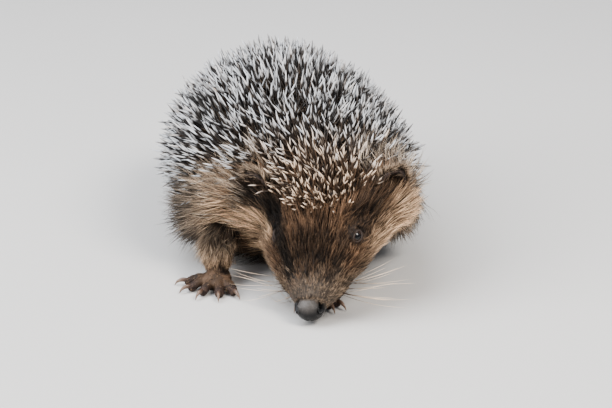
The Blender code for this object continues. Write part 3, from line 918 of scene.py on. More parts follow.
# the place along and around the body nearest to each point, and how far off it is
def onBody(points):
    found = [loftTree.find(p) for p in points]
    index = np.array([f[1] for f in found])
    gaps = np.array([f[2] for f in found])
    return loftAlong[index // len(loftAround)], loftAround[index % len(loftAround)], gaps


# how far each limb's own marks reach from its middle line, and from what share of its length
limbEdges = {
    "leg": ((6.5, 9), (0.35, 0.5)), "tail": ((4.5, 6), (0.25, 0.5)), "toe": ((1.9, 2.5), (0.35, 0.75)),
    "paw": (13, 17), "pawHeight": 3, "pawFlat": 0.7,
}


def limbShare(points):
    s, share = limbEdges, np.zeros(len(points))
    for name, path in limbPaths.items():
        reach, start = s["tail" if name == "tail" else "leg"]
        gap, where = segmentGap(points, shifted(path)[:, :3])
        share = np.maximum(share, fadeShare(gap, *reach) * blendShare(where, *start))
    for _, at, _, _ in pawPlaces.values():
        gap = lengthOf((points - (*at, s["pawHeight"]) - moved) * (1, 1, s["pawFlat"]))
        share = np.maximum(share, fadeShare(gap, *s["paw"]))
    return share


def toeShare(points):
    share, (reach, start) = np.zeros(len(points)), limbEdges["toe"]
    for name in pawPlaces:
        for k in range(5):
            gap, where = segmentGap(points, toePath(name, k)[0][:, :3])
            share = np.maximum(share, fadeShare(gap, *reach) * blendShare(where, *start))
    return share


def makeSkin():
    s, mesh = skinSettings, makeSkinMesh()
    setPoints(mesh, smoothPoints(mesh, pointsOf(mesh), s["smoothing"]))
    spots = [(eyeFrame(side)[0], reach) for side in bothSides for reach in s["fineEyes"]]
    refine(mesh, spots + [(noseTip + headAxes[:, 1] * s["fineNoseBack"], s["fineNose"])])
    points = shapeDetails(pointsOf(mesh))
    setPoints(mesh, points)
    mesh.update()
    along, around, off = onBody(points)
    limb, lids, ears = limbShare(points), np.zeros(len(points)), np.zeros(len(points))
    for side in bothSides:
        _, r, theta, opening = roundEye(points, side)
        lids = np.maximum(lids, (r < s["lidColourReach"]) * fadeShare(theta / opening, *s["lidColour"]))
        ears = np.maximum(ears, fadeShare(earReach(points, side, s["earSize"]), 0.9, 1.05))
    q = inNose(inSkull(points))
    nose = fadeShare(noseReach(q, s["nosePad"]), 0.97, 1.06)
    nose = nose * fadeShare(q[:, 1] + 0.3 * q[:, 2], *s["padEdge"])
    # a painted highlight on the top of the pad, away from the nostrils, and painted shade inside them
    hollow = segmentGap(mirrored(q), faceDetails["nostril"])[0]
    lit = fadeShare(lengthOf((q - s["noseLight"]) * (0.8, 1, 1)), *s["noseLightReach"])
    wave, reach = s["hairWaves"]
    marks = {name: value * (1 - limb) for name, value in markingsAt(points, along, around).items()}
    marks.update({
        "bare": limb * toeShare(points), "spiny": spinyShare(along, around, 5) * (1 - limb) * (off < 3),
        "noseShare": nose, "paintedNoseSheen": lit * blendShare(hollow, *s["hollow"][2:]),
        "hollow": nose * fadeShare(hollow, *s["hollow"][:2]), "lids": lids, "earShare": ears * (off > 0.8),
        "lay": np.stack([along * wave, reach * np.cos(around), reach * np.sin(around)], 1),
    })
    for name, values in marks.items():
        setMark(mesh, name, values)
    mesh.materials.clear()
    mesh.materials.append(skinFinish())
    mesh.shade_smooth()
    flesh = ["head", "lower_jaw", "neck", "trunk", "tail", "nose", "ear_left", "ear_right"]
    skin = addPiece("skin", mesh, flesh + list(legPaths) + list(pawPlaces))
    print("skin:", len(mesh.vertices), "points")
    return skin


eyeSettings = {
    "size": 0.97, "bulge": 0.05, "bulgeWidth": 0.6, "rows": 40, "sides": 64,
    "pupil": (0.002, 0.002, 0.002), "iris": ((0.012, 0.006, 0.003), (0.045, 0.022, 0.010)),
    "white": (0.010, 0.006, 0.004), "streakScale": 1400.0,
    "pupilEdge": (22, 26), "irisEdge": (52, 60),  # degrees off the way the eye looks
}


def eyeFinish():
    s = eyeSettings
    made, tree, shader = newFinish("darkEye")
    ring = mark(tree, "ring")
    streaks = ranged(tree, noise(tree, objectPlace(tree), s["streakScale"], 4.0), 0.35, 0.7)
    iris = mixed(tree, streaks, *s["iris"])
    colour = mixed(tree, ranged(tree, ring, *s["pupilEdge"]), s["pupil"], iris)
    fill(tree, shader, {"Base Color": mixed(tree, ranged(tree, ring, *s["irisEdge"]), colour, s["white"]),
                        "Roughness": 0.16, "Specular IOR Level": 0.3, "Coat Weight": 0.45,
                        "Coat Roughness": 0.05})
    return made


def makeEyes():
    s, finish = eyeSettings, eyeFinish()
    t = np.linspace(0.01, np.pi - 0.01, s["rows"])
    p = np.linspace(0, 2 * np.pi, s["sides"], endpoint=False)
    for side in bothSides:
        centre, looks, along, over = eyeFrame(side)
        radius = skinSettings["eyeRadius"] * (s["size"] + s["bulge"] * bell(t, 0, s["bulgeWidth"]))
        ring = np.cos(p)[None, :, None] * along + np.sin(p)[None, :, None] * over
        dome = np.sin(t)[:, None, None] * ring + np.cos(t)[:, None, None] * looks
        rows = centre + radius[:, None, None] * dome
        mesh = meshOfFaces(f"eye{side.title()}", *closedRows(rows), finish)
        setMark(mesh, "ring", np.degrees(np.concatenate([np.repeat(t, len(p)), [0, np.pi]])))
        addPiece(f"eye_{side}_ball", mesh, [f"eye_{side}"])
    print("eyes set")


clawSettings = {
    "radius": 0.74, "rootBack": 0.6, "rootUp": 0.25, "tipHeight": 0.32, "squash": 1.15,
    "arch": (0.5, 0.72, 0.84), "late": (0.84, -0.1, 0.42), "tip": 0.05,  # place, height and thickness
    "sides": 14, "spacing": 0.28, "lowest": 0.02, "grainScale": 1100.0, "bump": 0.3, "bumpDepth": 0.0001,
    "tones": ((0.075, 0.044, 0.034), (0.27, 0.19, 0.145)), "grain": (0.62, 0.58, 0.55),
    "roughness": (0.28, 0.45),
}


def clawFinish():
    s = clawSettings
    made, tree, shader = newFinish("clawHorn")
    grain = noise(tree, objectPlace(tree), s["grainScale"])
    colour = mixed(tree, ranged(tree, mark(tree, "along"), 0.1, 0.95), *s["tones"])
    worn = mixed(tree, 1.0, colour, s["grain"], "MULTIPLY")
    fill(tree, shader, {"Base Color": mixed(tree, ranged(tree, grain, 0.3, 0.75), worn, colour),
                        "Roughness": ranged(tree, grain, 0.3, 0.7, *s["roughness"]),
                        "Normal": bumped(tree, grain, s["bump"], s["bumpDepth"])})
    return made


def makeClaws():
    s, finish = clawSettings, clawFinish()
    for name in pawPlaces:
        for k in range(5):
            path, ahead, sole = toePath(name, k)
            end, length = path[-1, :3], sole["claw"]
            root = end - ahead * s["rootBack"] + (0, 0, s["rootUp"])
            line = [(*root, s["radius"])]
            for share, up, size in (s["arch"], s["late"]):
                line.append((*(end + ahead * length * share + (0, 0, up)), s["radius"] * size))
            line.append((*(end + ahead * length)[:2], s["tipHeight"], s["tip"]))
            points, faces = closedRows(tubeRows(line, s["sides"], s["spacing"], s["squash"]))
            points[:, 2] = np.maximum(points[:, 2], s["lowest"])
            mesh = meshOfFaces(f"{name}Claw{k + 1}", points, faces, finish)
            setMark(mesh, "along", np.clip((points - root) @ ahead / length, 0, 1))
            addPiece(f"{name}_claw_{k + 1}_horn", mesh, [f"{name}_claw_{k + 1}"])
    print("claws set")


# even rows of roots over the skin between two places along the body
def scatterRoots(start, end, spacingAt, seed, wobble=0.7):
    dice = np.random.default_rng(seed)
    fine = np.linspace(start, end, 600)
    run = np.zeros(len(fine))
    for around in (0.0, np.pi / 2, np.pi, np.pi * 0.75):
        step = lengthOf(np.diff(skinAt(fine, np.full(len(fine), around)), axis=0))
        run[1:] = np.maximum(run[1:], np.cumsum(step))
    rows, at = [], 0.0
    while at < run[-1]:
        rows.append(np.interp(at, run, fine))
        at += float(spacingAt(rows[-1]))
    rows = np.array(rows)
    turns = np.linspace(-np.pi, np.pi, 361) - np.pi / 2
    ring = skinAt(rows[:, None], turns[None, :])
    steps = lengthOf(np.diff(ring, axis=1))
    arcs = np.concatenate([np.zeros((len(rows), 1)), np.cumsum(steps, axis=1)], 1)
    along, around = [], []
    for k, row in enumerate(rows):
        spacing = float(spacingAt(row))
        count = max(3, int(arcs[k, -1] / spacing))
        places = np.arange(count) + 0.5 * (k % 2) + (dice.random(count) - 0.5) * wobble
        places = places / count * arcs[k, -1]
        around.append(np.interp(places % arcs[k, -1], arcs[k], turns))
        slope = np.interp(row, fine[:-1], np.diff(fine) / np.maximum(np.diff(run), 1e-6))
        along.append(row + (dice.random(count) - 0.5) * wobble * spacing * slope)
    return np.clip(np.concatenate(along), start, end), np.concatenate(around), dice


# one joined mesh of many tapering hairs or quills
def strandMesh(name, s, finish, marks, roots, ways, endWays, lengths, widths, normals, patches, cells):
    t, profile, sides = np.array(s["stations"]), np.array(s["profile"]), s["sides"]
    count, rings = len(roots), len(t)
    bend = (endWays - ways)[:, None]
    spine = roots[:, None] + lengths[:, None, None] * (
        ways[:, None] * t[None, :, None] + bend * (t * t / 2)[None, :, None])
    heading = unit(ways[:, None] + bend * t[None, :, None])
    across = unit(np.cross(heading, normals[:, None]))
    over = np.cross(heading, across)
    angles = (2 * np.pi * np.arange(sides) / sides + np.pi / sides)[None, None, :, None]
    size = widths[:, None] * profile[None, :]
    ring = np.cos(angles) * across[:, :, None] + s["flat"] * np.sin(angles) * over[:, :, None]
    body = spine[:, :-1, None] + ring[:, :-1] * size[:, :-1, None, None]
    each = (rings - 1) * sides + 1
    points = np.concatenate([body.reshape(count, -1, 3), spine[:, -1:]], 1).reshape(-1, 3)
    points[:, 2] = np.maximum(points[:, 2], 0.25)  # nothing hangs below the floor
    corners, counts, place = [], [], []
    for j in range(rings - 1):
        for m in range(sides):
            a, b = j * sides + m, j * sides + (m + 1) % sides
            if j < rings - 2:
                corners += [a, b, b + sides, a + sides]
                place += [(m, t[j]), (m + 1, t[j]), (m + 1, t[j + 1]), (m, t[j + 1])]
                counts.append(4)
            else:
                corners += [a, b, each - 1]
                place += [(m, t[j]), (m + 1, t[j]), (m + 0.5, 1)]
                counts.append(3)
    allCorners = (np.array(corners)[None, :] + (np.arange(count) * each)[:, None]).ravel()
    mesh = meshOf(name, points, allCorners, np.tile(counts, count), finish)
    local = np.repeat((np.array(place, float) / (sides, 1))[None], count, 0)
    local[:, :, 0] = cells[:, :1] + local[:, :, 0] * cells[:, 1:]
    uv = patches[:, None] + local * patchSize
    mesh.uv_layers.new(name="OFBake").uv.foreach_set("vector", uv.astype(np.float32).ravel())
    setMark(mesh, "along", np.tile(np.concatenate([np.repeat(t[:-1], sides), [1.0]]), count))
    for key, values in marks.items():
        setMark(mesh, key, np.repeat(values, each, axis=0))
    return mesh


mostFaces = 190000  # in one piece of the coat
patchSize = 0.003  # each tuft's own patch of the map
mapBorder, mapReach = 0.006, 0.984


# the lower left corner of each root's patch, from places between 0 and 1 on the coat's map
def onMap(places):
    return mapBorder + np.clip(places, 0, 1) * mapReach


def patchesAt(along, around):
    u = (around % (2 * np.pi)) / (2 * np.pi)
    v = (along - along.min()) / max(along.max() - along.min(), 1e-6)
    return onMap(np.stack([u, v], 1))


def addStrands(name, s, finish, data):
    count = len(data["roots"])
    each = (len(s["stations"]) - 2) * s["sides"] * 2 + s["sides"]
    pieces = max(1, math.ceil(count * each / mostFaces))
    for k in range(pieces):
        part = {key: value[k::pieces] for key, value in data.items() if key != "marks"}
        marks = {key: value[k::pieces] for key, value in data["marks"].items()}
        title = name if pieces == 1 else f"{name}_{k + 1}"
        addPiece(title, strandMesh(title, s, finish, marks, **part))
    print(f"{name}: {count} strands, {count * each} faces in {pieces} pieces")
    return count * each


quillSettings = {
    "seed": 11, "along": (26.6, 171), "earGap": (6.2, 6.0, 7.6),
    "spacing": ((26, 1.05), (34, 1.15), (46, 1.45), (62, 1.78), (172, 1.85)),
    "length": ((26, 6.0), (34, 8.6), (44, 12.0), (60, 15.5), (80, 17.5), (172, 16.5)),
    # degrees off the skin
    "rise": ((26, 60), (31, 54), (36, 38), (46, 36), (58, 42), (80, 46), (150, 46), (172, 50)),
    "cross": ((26, 60), (34, 46), (44, 34), (56, 27), (172, 23)),  # how far they criss-cross, in degrees
    "radius": ((26, 0.27), (40, 0.31), (60, 0.35), (172, 0.36)),
    "stations": (0, 0.3, 0.68, 0.8, 0.9, 1),
    "profile": (0.6, 0.9, 0.84, 1.0, 0.74, 0), "sides": 5, "flat": 1.0, "sink": 1.2,
    "lone": 2.9, "neighbours": 4,  # no quill stands alone: a reach in mm, and how many have to be in it
    "riseSway": 6, "riseWave": (8, 15, 5), "crossWave": (15, 12, 6), "lengthSway": 0.07, "widthSway": 0.08,
    # the coat parts a little down the crown
    "parting": 0.5, "partWidth": 9, "partAlong": (52, 9), "halfWidth": 40,
    "edge": 16, "edgeLength": 0.22, "warmAlong": (34, 60), "warmSway": 0.15, "warmest": 0.9,
}


def makeQuills(finish):
    s = quillSettings
    along, around, dice = scatterRoots(*s["along"], lambda a: table(s["spacing"], a), s["seed"])
    keep = blendShare(liftOf(around) - table(quillEdge, along), -1, 3) > dice.random(len(along))
    along, around = pick(keep, along, around)
    point, normal, back = skinFrame(along, around)
    for side in bothSides:
        far = earReach(point, side, s["earGap"]) > 1
        along, around, point, normal, back = pick(far, along, around, point, normal, back)
    near = nearnessTree(point)
    dense = np.array([len(near.find_range(p, s["lone"])) > s["neighbours"] for p in point])
    along, around, point, normal, back = pick(dense, along, around, point, normal, back)
    n, side = len(along), unit(np.cross(normal, back))
    rise = np.radians(table(s["rise"], along) + dice.normal(0, s["riseSway"], n)
                      + waved(point, s["riseWave"]))
    swing = np.radians(dice.normal(0, 1, n) * table(s["cross"], along) + waved(point, s["crossWave"]))
    fromMiddle = np.cos(around) * s["halfWidth"]
    parting = bell(fromMiddle, 0, s["partWidth"]) * bell(along, *s["partAlong"]) * np.sign(fromMiddle)
    leftWay = np.where((side @ headAxes[:, 0]) > 0, 1, -1)
    swing = swing + s["parting"] * parting * leftWay
    flat = back * np.cos(swing)[:, None] + side * np.sin(swing)[:, None]
    ways = unit(flat * np.cos(rise)[:, None] + normal * np.sin(rise)[:, None])
    endWays = unit(ways + normal * 0.03 - flat * 0.02 + dice.normal(0, 0.03, (n, 3)))
    lengths = table(s["length"], along) * (1 + dice.normal(0, s["lengthSway"], n))
    lengths = lengths * (1 - s["edgeLength"]
                         * fadeShare(liftOf(around) - table(quillEdge, along), 0, s["edge"]))
    widths = table(s["radius"], along) * (1 + dice.normal(0, s["widthSway"], n))
    warm = np.clip(fadeShare(along, *s["warmAlong"]) + dice.normal(0, s["warmSway"], n), 0, 1) * s["warmest"]
    data = {"roots": point - normal * s["sink"], "ways": ways, "endWays": endWays, "lengths": lengths,
            "widths": widths, "normals": normal, "patches": patchesAt(along, around),
            "cells": np.tile((0.0, 1.0), (n, 1)), "marks": {"shade": dice.random(n), "warm": warm}}
    return addStrands("quills", s, finish, data)


# the shape of a hair from root to tip, the hairs of a tuft, and how far they draw together
shortHair = {
    "hairs": 3, "stations": (0, 0.5, 1), "profile": (0.9, 0.85, 0), "sides": 3, "flat": 0.7, "clump": 0.6,
}
longHair = {
    "hairs": 4, "stations": (0, 0.35, 0.7, 1), "profile": (0.8, 1.0, 0.65, 0), "sides": 3, "flat": 0.7,
    "clump": 0.8,
    "spread": 0.5, "sink": 0.5,
}
tuftSettings = {
    "shorter": 0.35, "endRise": 0.3, "endLoose": 1.2, "pull": 2, "wave": 9,
    "shade": (0.55, 0.55, -0.08), "shadeWave": (0.12, 5),  # of the tuft, the hair and all; slow waves
    "thin": (0.5, 9, 0.6), "widthSway": (0.8, 1.2),  # shorter hairs are thinner
}


# tufts of a few hairs that share a root and a patch, and draw together at the tip
def growTufts(name, s, point, normal, lie, length, finish, dice, patches, marks, lift=None,
              droop=None):
    t, n, each = tuftSettings, len(point), s["hairs"]
    side = unit(np.cross(normal, lie))
    reach = dice.random((n, each)) ** 0.5 * s["spread"]
    turn = dice.random((n, each)) * 2 * np.pi
    offset = ((np.cos(turn) * reach)[..., None] * side[:, None]
              + (np.sin(turn) * reach)[..., None] * lie[:, None])
    rise = np.radians((s["rise"] if lift is None else lift) + dice.normal(0, s["riseSway"], n))
    swing = np.radians(dice.normal(0, s["sway"], n) + s["sway"] * drift(point, t["wave"], s["seed"]))
    flat = lie * np.cos(swing)[:, None] + side * np.sin(swing)[:, None]
    way = flat * np.cos(rise)[:, None] + normal * np.sin(rise)[:, None]
    end = flat * np.cos(rise * t["endRise"])[:, None] + normal * np.sin(rise * t["endRise"])[:, None]
    end[:, 2] -= s.get("droop", 0.0) if droop is None else droop
    wayEach = unit(way[:, None] + dice.normal(0, s["loose"], (n, each, 3)))
    lengths = length[:, None] * (1 - t["shorter"] * dice.random((n, each)) ** 2)
    pull = -offset * s["clump"] / np.maximum(lengths, 0.5)[..., None]
    strayed = unit(end)[:, None] + dice.normal(0, s["loose"] * t["endLoose"], (n, each, 3))
    endEach = unit(strayed) + t["pull"] * pull
    roots = point[:, None] + offset - normal[:, None] * s.get("sink", 0.35)
    cells = np.stack([np.tile(np.arange(each) / each, (n, 1)), np.full((n, each), 1 / each)], -1)
    tuftShade, hairShade, shadeShift = t["shade"]
    waves, waveSize = t["shadeWave"]
    shade = np.repeat(dice.random(n) * tuftShade + waves * drift(point, waveSize, s["seed"] + 1), each)
    shade = np.clip(shade + dice.random(n * each) * hairShade + shadeShift, 0, 1)
    thin, full, thinnest = t["thin"]
    widths = s["width"] * np.clip(thin + lengths.ravel() / full, thinnest, 1)
    widths = widths * between(t["widthSway"], dice.random(n * each))
    flatMarks = {key: np.repeat(value, each) for key, value in marks.items()}
    data = {"roots": roots.reshape(-1, 3), "ways": wayEach.reshape(-1, 3), "endWays": endEach.reshape(-1, 3),
            "lengths": lengths.ravel(), "widths": widths, "normals": np.repeat(normal, each, axis=0),
            "patches": np.repeat(patches, each, axis=0), "cells": cells.reshape(-1, 2),
            "marks": {**flatMarks, "shade": shade}}
    return addStrands(name, s, finish, data)


# bare places that roots keep off
clearances = {
    "ear": (4.4, 4.2, 5.6), "earForward": 1.5, "nose": (5.2, 5.2, 4.7), "padEdge": 5.2,
    "lid": 0.8, "lidReach": 0.3, "openReach": 1.2, "opening": 1.4,  # the last is a share of the lids' opening
}


def clearOfFeatures(point, eyeGap=2.5):
    s, keep = clearances, np.ones(len(point), bool)
    for side in bothSides:
        keep &= lengthOf(point - eyeFrame(side)[0]) > eyeGap
        keep &= earReach(point, side, s["ear"], s["earForward"]) > 1
    q = inNose(inSkull(point))
    return keep & ((noseReach(q, s["nose"]) > 1) | (q[:, 1] + 0.3 * q[:, 2] > s["padEdge"]))


def eyeNearness(point):
    return np.minimum(*[lengthOf(point - eyeFrame(side)[0]) for side in bothSides])


# roots near an eye move out onto its lids and stay clear of the opening
def settleOnLids(point, normal):
    s, keep = clearances, np.ones(len(point), bool)
    lid = skinSettings["eyeRadius"] + skinSettings["lidLift"] * s["lid"]
    for side in bothSides:
        d, r, theta, opening = roundEye(point, side)
        keep &= (r > lid + s["openReach"]) | (theta > opening * s["opening"])
        near = (r < lid + s["lidReach"])[:, None]
        point = np.where(near, point - d + unit(d) * lid, point)
        normal = np.where(near, unit(d), normal)
    return point, normal, keep


faceFur = {  # pairs are for the animal's left and right
    **longHair, "seed": 21, "span": (4.3, 52), "spacing": ((5, 0.42), (14, 0.58), (30, 0.78), (46, 0.9)),
    "length": ((5, 1.2), (9, 2.2), (14, 3.8), (20, 6.0), (28, 8.5), (36, 11.5), (44, 14.0), (52, 15.5)),
    "width": 0.09, "rise": 17, "riseSway": 6, "sway": 9, "loose": 0.06, "spread": 0.34, "clump": 0.6,
    "stations": (0, 0.4, 0.75, 1), "profile": (0.8, 1.0, 0.6, 0), "sink": 0.3, "lengthSway": 0.12,
    # the share left out, and how much shorter
    "amongQuills": 0.86, "quillEdge": (0, 20), "quillLength": 0.35,
    "eyeLength": (0.22, 1), "eyeReach": (2.8, 7.5),
    "lowLift": (10, 60), "lowAlong": (22, 36), "lowLength": (-0.25, 0.3),
    "sweepAlong": (20, 34), "sweepTop": (10, 40), "sweep": (0.28, -0.12),  # how far the hair bends down
    # beside the nose
    "padAlong": (7, 11, 22, 30), "padTop": (8, 40), "padLength": (-0.15, 0.45), "padLift": (6, 38),
    # the head's turn bunches the right
    "cheekAlong": (24, 34), "cheekTop": (-10, 25), "cheekLift": (-11, 18),
}


def makeFaceFur(finish):
    s = faceFur
    along, around, dice = scatterRoots(*s["span"], lambda a: table(s["spacing"], a), s["seed"], 0.9)
    spiny = blendShare(liftOf(around) - table(quillEdge, along), *s["quillEdge"])
    along, around = pick(s["amongQuills"] * spiny < dice.random(len(along)), along, around)
    point, normal, back = skinFrame(along, around)
    point, normal, keep = settleOnLids(point, normal)
    keep &= clearOfFeatures(point, 0)
    along, around, point, normal, back = pick(keep, along, around, point, normal, back)
    lift, right = liftOf(around), np.cos(around) < 0
    length = table(s["length"], along) * (1 + dice.normal(0, s["lengthSway"], len(along)))
    length = length * between(s["eyeLength"], blendShare(eyeNearness(point), *s["eyeReach"]))
    length = length * (1 - s["quillLength"] * spinyShare(along, around, 9))
    lowLeft, lowRight = s["lowLength"]
    low = np.where(right, lowRight * blendShare(along, *s["lowAlong"]), lowLeft)
    length = length * (1 + low * blendShare(-lift, *s["lowLift"]))
    sweep = blendShare(along, *s["sweepAlong"]) * fadeShare(lift, *s["sweepTop"]) * between(s["sweep"], right)
    lie = laidFlat(unit(back - up * sweep[:, None]), normal)
    pads = spanShare(along, *s["padAlong"]) * fadeShare(lift, *s["padTop"])
    cheeks = blendShare(along, *s["cheekAlong"]) * fadeShare(lift, *s["cheekTop"])
    length = length * (1 + between(s["padLength"], right) * pads)
    rise = s["rise"] + between(s["padLift"], right) * pads + between(s["cheekLift"], right) * cheeks
    return growTufts("faceFur", s, point, normal, lie, length, finish, dice,
                     patchesAt(along, around), markingsAt(point, along, around), rise)


flankFur = {
    **longHair, "seed": 31, "span": (46, 171), "spacing": 1.05,
    "length": ((44, 12.0), (56, 15.0), (75, 16.0), (150, 14.0), (172, 10.0)), "lengthSway": 0.13,
    "width": 0.115, "rise": 24, "riseSway": 7, "sway": 12, "loose": 0.08, "droop": 0.42,
    "lowest": -66, "quillEdge": (2, 20), "underLift": (30, 62), "underLength": 0.45,
    # over the right foreleg, which reaches out, the hair spreads forward: how far it bends down, and the rest
    "frontAlong": (64, 88), "frontLift": (-32, -6), "down": (0.55, 0.13),
    "frontRise": 26, "frontLength": 0.2, "frontDroop": 0.7,
    # behind the ears it stands out, from a lower place on the right
    "ruffAlong": (54, 66), "ruffLowest": (0, -30), "ruffLift": (0, 26), "ruffRise": 30,
}


def makeFlankFur(finish):
    s = flankFur
    along, around, dice = scatterRoots(*s["span"], lambda a: s["spacing"], s["seed"], 0.9)
    lift = liftOf(around)
    spiny = blendShare(lift - table(quillEdge, along), *s["quillEdge"])
    along, around, lift = pick((lift > s["lowest"]) & (spiny < dice.random(len(along))), along, around, lift)
    point, normal, back = skinFrame(along, around)
    right = np.cos(around) < 0
    front = right * fadeShare(along, *s["frontAlong"]) * blendShare(lift, *s["frontLift"])
    lie = laidFlat(unit(back - up * between(s["down"], front)[:, None]), normal)
    length = table(s["length"], along) * (1 + dice.normal(0, s["lengthSway"], len(along)))
    length = length * (1 - s["underLength"] * blendShare(-lift, *s["underLift"]))
    length = length * (1 + s["frontLength"] * front)
    ruff = fadeShare(along, *s["ruffAlong"])
    ruff = ruff * blendShare(lift - between(s["ruffLowest"], right), *s["ruffLift"])
    rise = s["rise"] + np.maximum(s["ruffRise"] * ruff, s["frontRise"] * front)
    return growTufts("flankFur", s, point, normal, lie, length, finish, dice,
                     patchesAt(along, around), markingsAt(point, along, around), rise,
                     s["droop"] * (1 - s["frontDroop"] * front))


ruffFur = {
    **longHair, "seed": 81, "span": (43.5, 60), "spacing": 1.35, "length": 13.5, "lengthSway": 0.16,
    "width": 0.105, "rise": 50, "riseSway": 9, "sway": 14, "loose": 0.09,
    "lowest": (0, -30), "lift": (0, 22), "top": (44, 60), "end": (54, 60), "pale": (0.6, 0.15),
    "fan": (-4, 12, 24, 40), "fanLength": 0.22, "fanRise": 18,  # the left side spreads wider
}


# pale hair that stands out behind and under the ears
def makeRuff(finish):
    s = ruffFur
    along, around, dice = scatterRoots(*s["span"], lambda a: s["spacing"], s["seed"], 0.9)
    lift = liftOf(around)
    share = blendShare(lift - between(s["lowest"], np.cos(around) < 0), *s["lift"])
    share = share * fadeShare(lift, *s["top"]) * fadeShare(along, *s["end"])
    along, around = pick(share > dice.random(len(along)), along, around)
    point, normal, back = skinFrame(along, around)
    along, around, point, normal, back = pick(clearOfFeatures(point), along, around, point, normal, back)
    n, fan = len(along), (np.cos(around) > 0) * spanShare(liftOf(around), *s["fan"])
    length = s["length"] * (1 + dice.normal(0, s["lengthSway"], n)) * (1 + s["fanLength"] * fan)
    pale = np.clip(dice.normal(*s["pale"], n), 0, 1)
    marks = {"cream": 0.6 * pale, "ash": np.full(n, 0.1), "dun": pale, "dusk": np.zeros(n)}
    return growTufts("ruffFur", s, point, normal, back, length, finish, dice,
                     patchesAt(along, around), marks, s["rise"] + s["fanRise"] * fan)


bellyFur = {
    **shortHair, "seed": 41, "span": (46, 168), "spacing": 1.7, "highest": -55, "length": 5.5,
    "lengthSway": 0.12,
    "width": 0.13, "rise": 18, "riseSway": 6, "sway": 16, "loose": 0.12, "spread": 0.8,
    "profile": (0.9, 0.8, 0),
}


def makeBellyFur(finish):
    s = bellyFur
    along, around, dice = scatterRoots(*s["span"], lambda a: s["spacing"], s["seed"], 0.9)
    along, around = pick(liftOf(around) < s["highest"], along, around)
    point, normal, back = skinFrame(along, around)
    length = s["length"] * (1 + dice.normal(0, s["lengthSway"], len(along)))
    return growTufts("bellyFur", s, point, normal, back, length, finish, dice,
                     patchesAt(along, around), markingsAt(point, along, around))


# roots spread over faces of the finished skin, more where the weight is higher
def scatterOnSkin(skin, weightOf, perMm, seed):
    dice = np.random.default_rng(seed)
    mesh = skin.data
    mesh.calc_loop_triangles()
    tris = np.zeros(len(mesh.loop_triangles) * 3, np.int32)
    mesh.loop_triangles.foreach_get("vertices", tris)
    tris = tris.reshape(-1, 3)
    points = pointsOf(mesh)
    corner = points[tris]
    cross = np.cross(corner[:, 1] - corner[:, 0], corner[:, 2] - corner[:, 0])
    area = lengthOf(cross) / 2
    weight = area * weightOf(corner.mean(1), unit(cross))
    count = int(weight.sum() * perMm)
    chosen = dice.choice(len(tris), count, p=weight / weight.sum())
    a, b = dice.random((2, count, 1))
    over = (a + b) > 1
    a, b = np.where(over, 1 - a, a), np.where(over, 1 - b, b)
    picked = corner[chosen]
    return picked[:, 0] * (1 - a - b) + picked[:, 1] * a + picked[:, 2] * b, unit(cross)[chosen], dice


legFur = {
    # on the leg and on the foot
    **shortHair, "seed": 51, "perMm": 2.0, "length": (3.4, 1.5), "lengthSway": 0.14,
    "width": 0.1, "rise": 22, "riseSway": 7, "sway": 16, "loose": 0.12, "spread": 0.4, "sink": 0.25,
    "toes": 0.8, "soleHeight": 1.2, "foot": (-9.5, -6.5), "thigh": (9.5, 16), "thighLength": 6.5,
    "cream": (0.74, 0.14), "footCream": 0.5, "thighDun": 0.3, "footDusk": 0.3,
    # painted shade on the hair high on the legs, under the body
    "shadedHeight": (12, 19), "shaded": 0.75,
}


def makeLegFur(skin, finish):
    s = legFur

    def weightOf(points, normals):
        limb = limbShare(points) * (onBody(points)[2] > 0.6)
        furred = limb * (1 - s["toes"] * toeShare(points))
        return furred * (points[:, 2] > s["soleHeight"]) * (normals[:, 2] > -0.6)

    point, normal, dice = scatterOnSkin(skin, weightOf, s["perMm"], s["seed"])
    n, height = len(point), point[:, 2]
    best, lie, place = np.full(n, 1e9), np.zeros((n, 3)), np.zeros((n, 2))
    for k, (name, path) in enumerate(limbPaths.items()):
        line = shifted(path)[:, :3]
        if name != "tail":  # the hair runs on from the leg to the toes
            _, at, heading, _ = pawPlaces[name.replace("leg", "paw")]
            turn = math.radians(heading)
            toes = np.array((at[0] - math.sin(turn) * 12, at[1] - math.cos(turn) * 12, 1.0))
            line = np.concatenate([line, [(*at, 4.0) + moved, toes + moved]])
        gap, where = segmentGap(point, line)
        nearer = gap < best
        best = np.where(nearer, gap, best)
        index = np.clip((where * (len(line) - 1)).astype(int), 0, len(line) - 2)
        ahead = unit(line[index + 1] - line[index])
        lie = np.where(nearer[:, None], ahead, lie)
        side = np.cross(ahead, up)
        spot = point - line[index]
        angle = np.arctan2(np.sum(spot * unit(side), 1), np.sum(spot * unit(np.cross(side, ahead)), 1))
        mapped = np.stack([(k + 0.05 + 0.9 * (angle / (2 * np.pi) + 0.5)) / 5, where], 1)
        place = np.where(nearer[:, None], mapped, place)
    foot, thigh = blendShare(-height, *s["foot"]), blendShare(height, *s["thigh"])
    length = between(s["length"], foot) + s["thighLength"] * thigh
    length = length * (1 + dice.normal(0, s["lengthSway"], n))
    cream, creamSway = s["cream"]
    cream = np.clip(cream + dice.normal(0, creamSway, n), 0, 1) * (1 - s["footCream"] * foot)
    # darker feet, and painted shade on the hair high on the legs
    dusk = s["footDusk"] * foot + s["shaded"] * blendShare(height, *s["shadedHeight"])
    dusk = dusk + dice.normal(0.05, 0.1, n)
    marks = {"cream": cream, "ash": 0.1 + 0.2 * foot, "dun": s["thighDun"] * thigh,
             "dusk": np.clip(dusk, 0, 1)}
    return growTufts("legFur", s, point, normal, laidFlat(lie, normal), length, finish, dice,
                     onMap(place), marks)


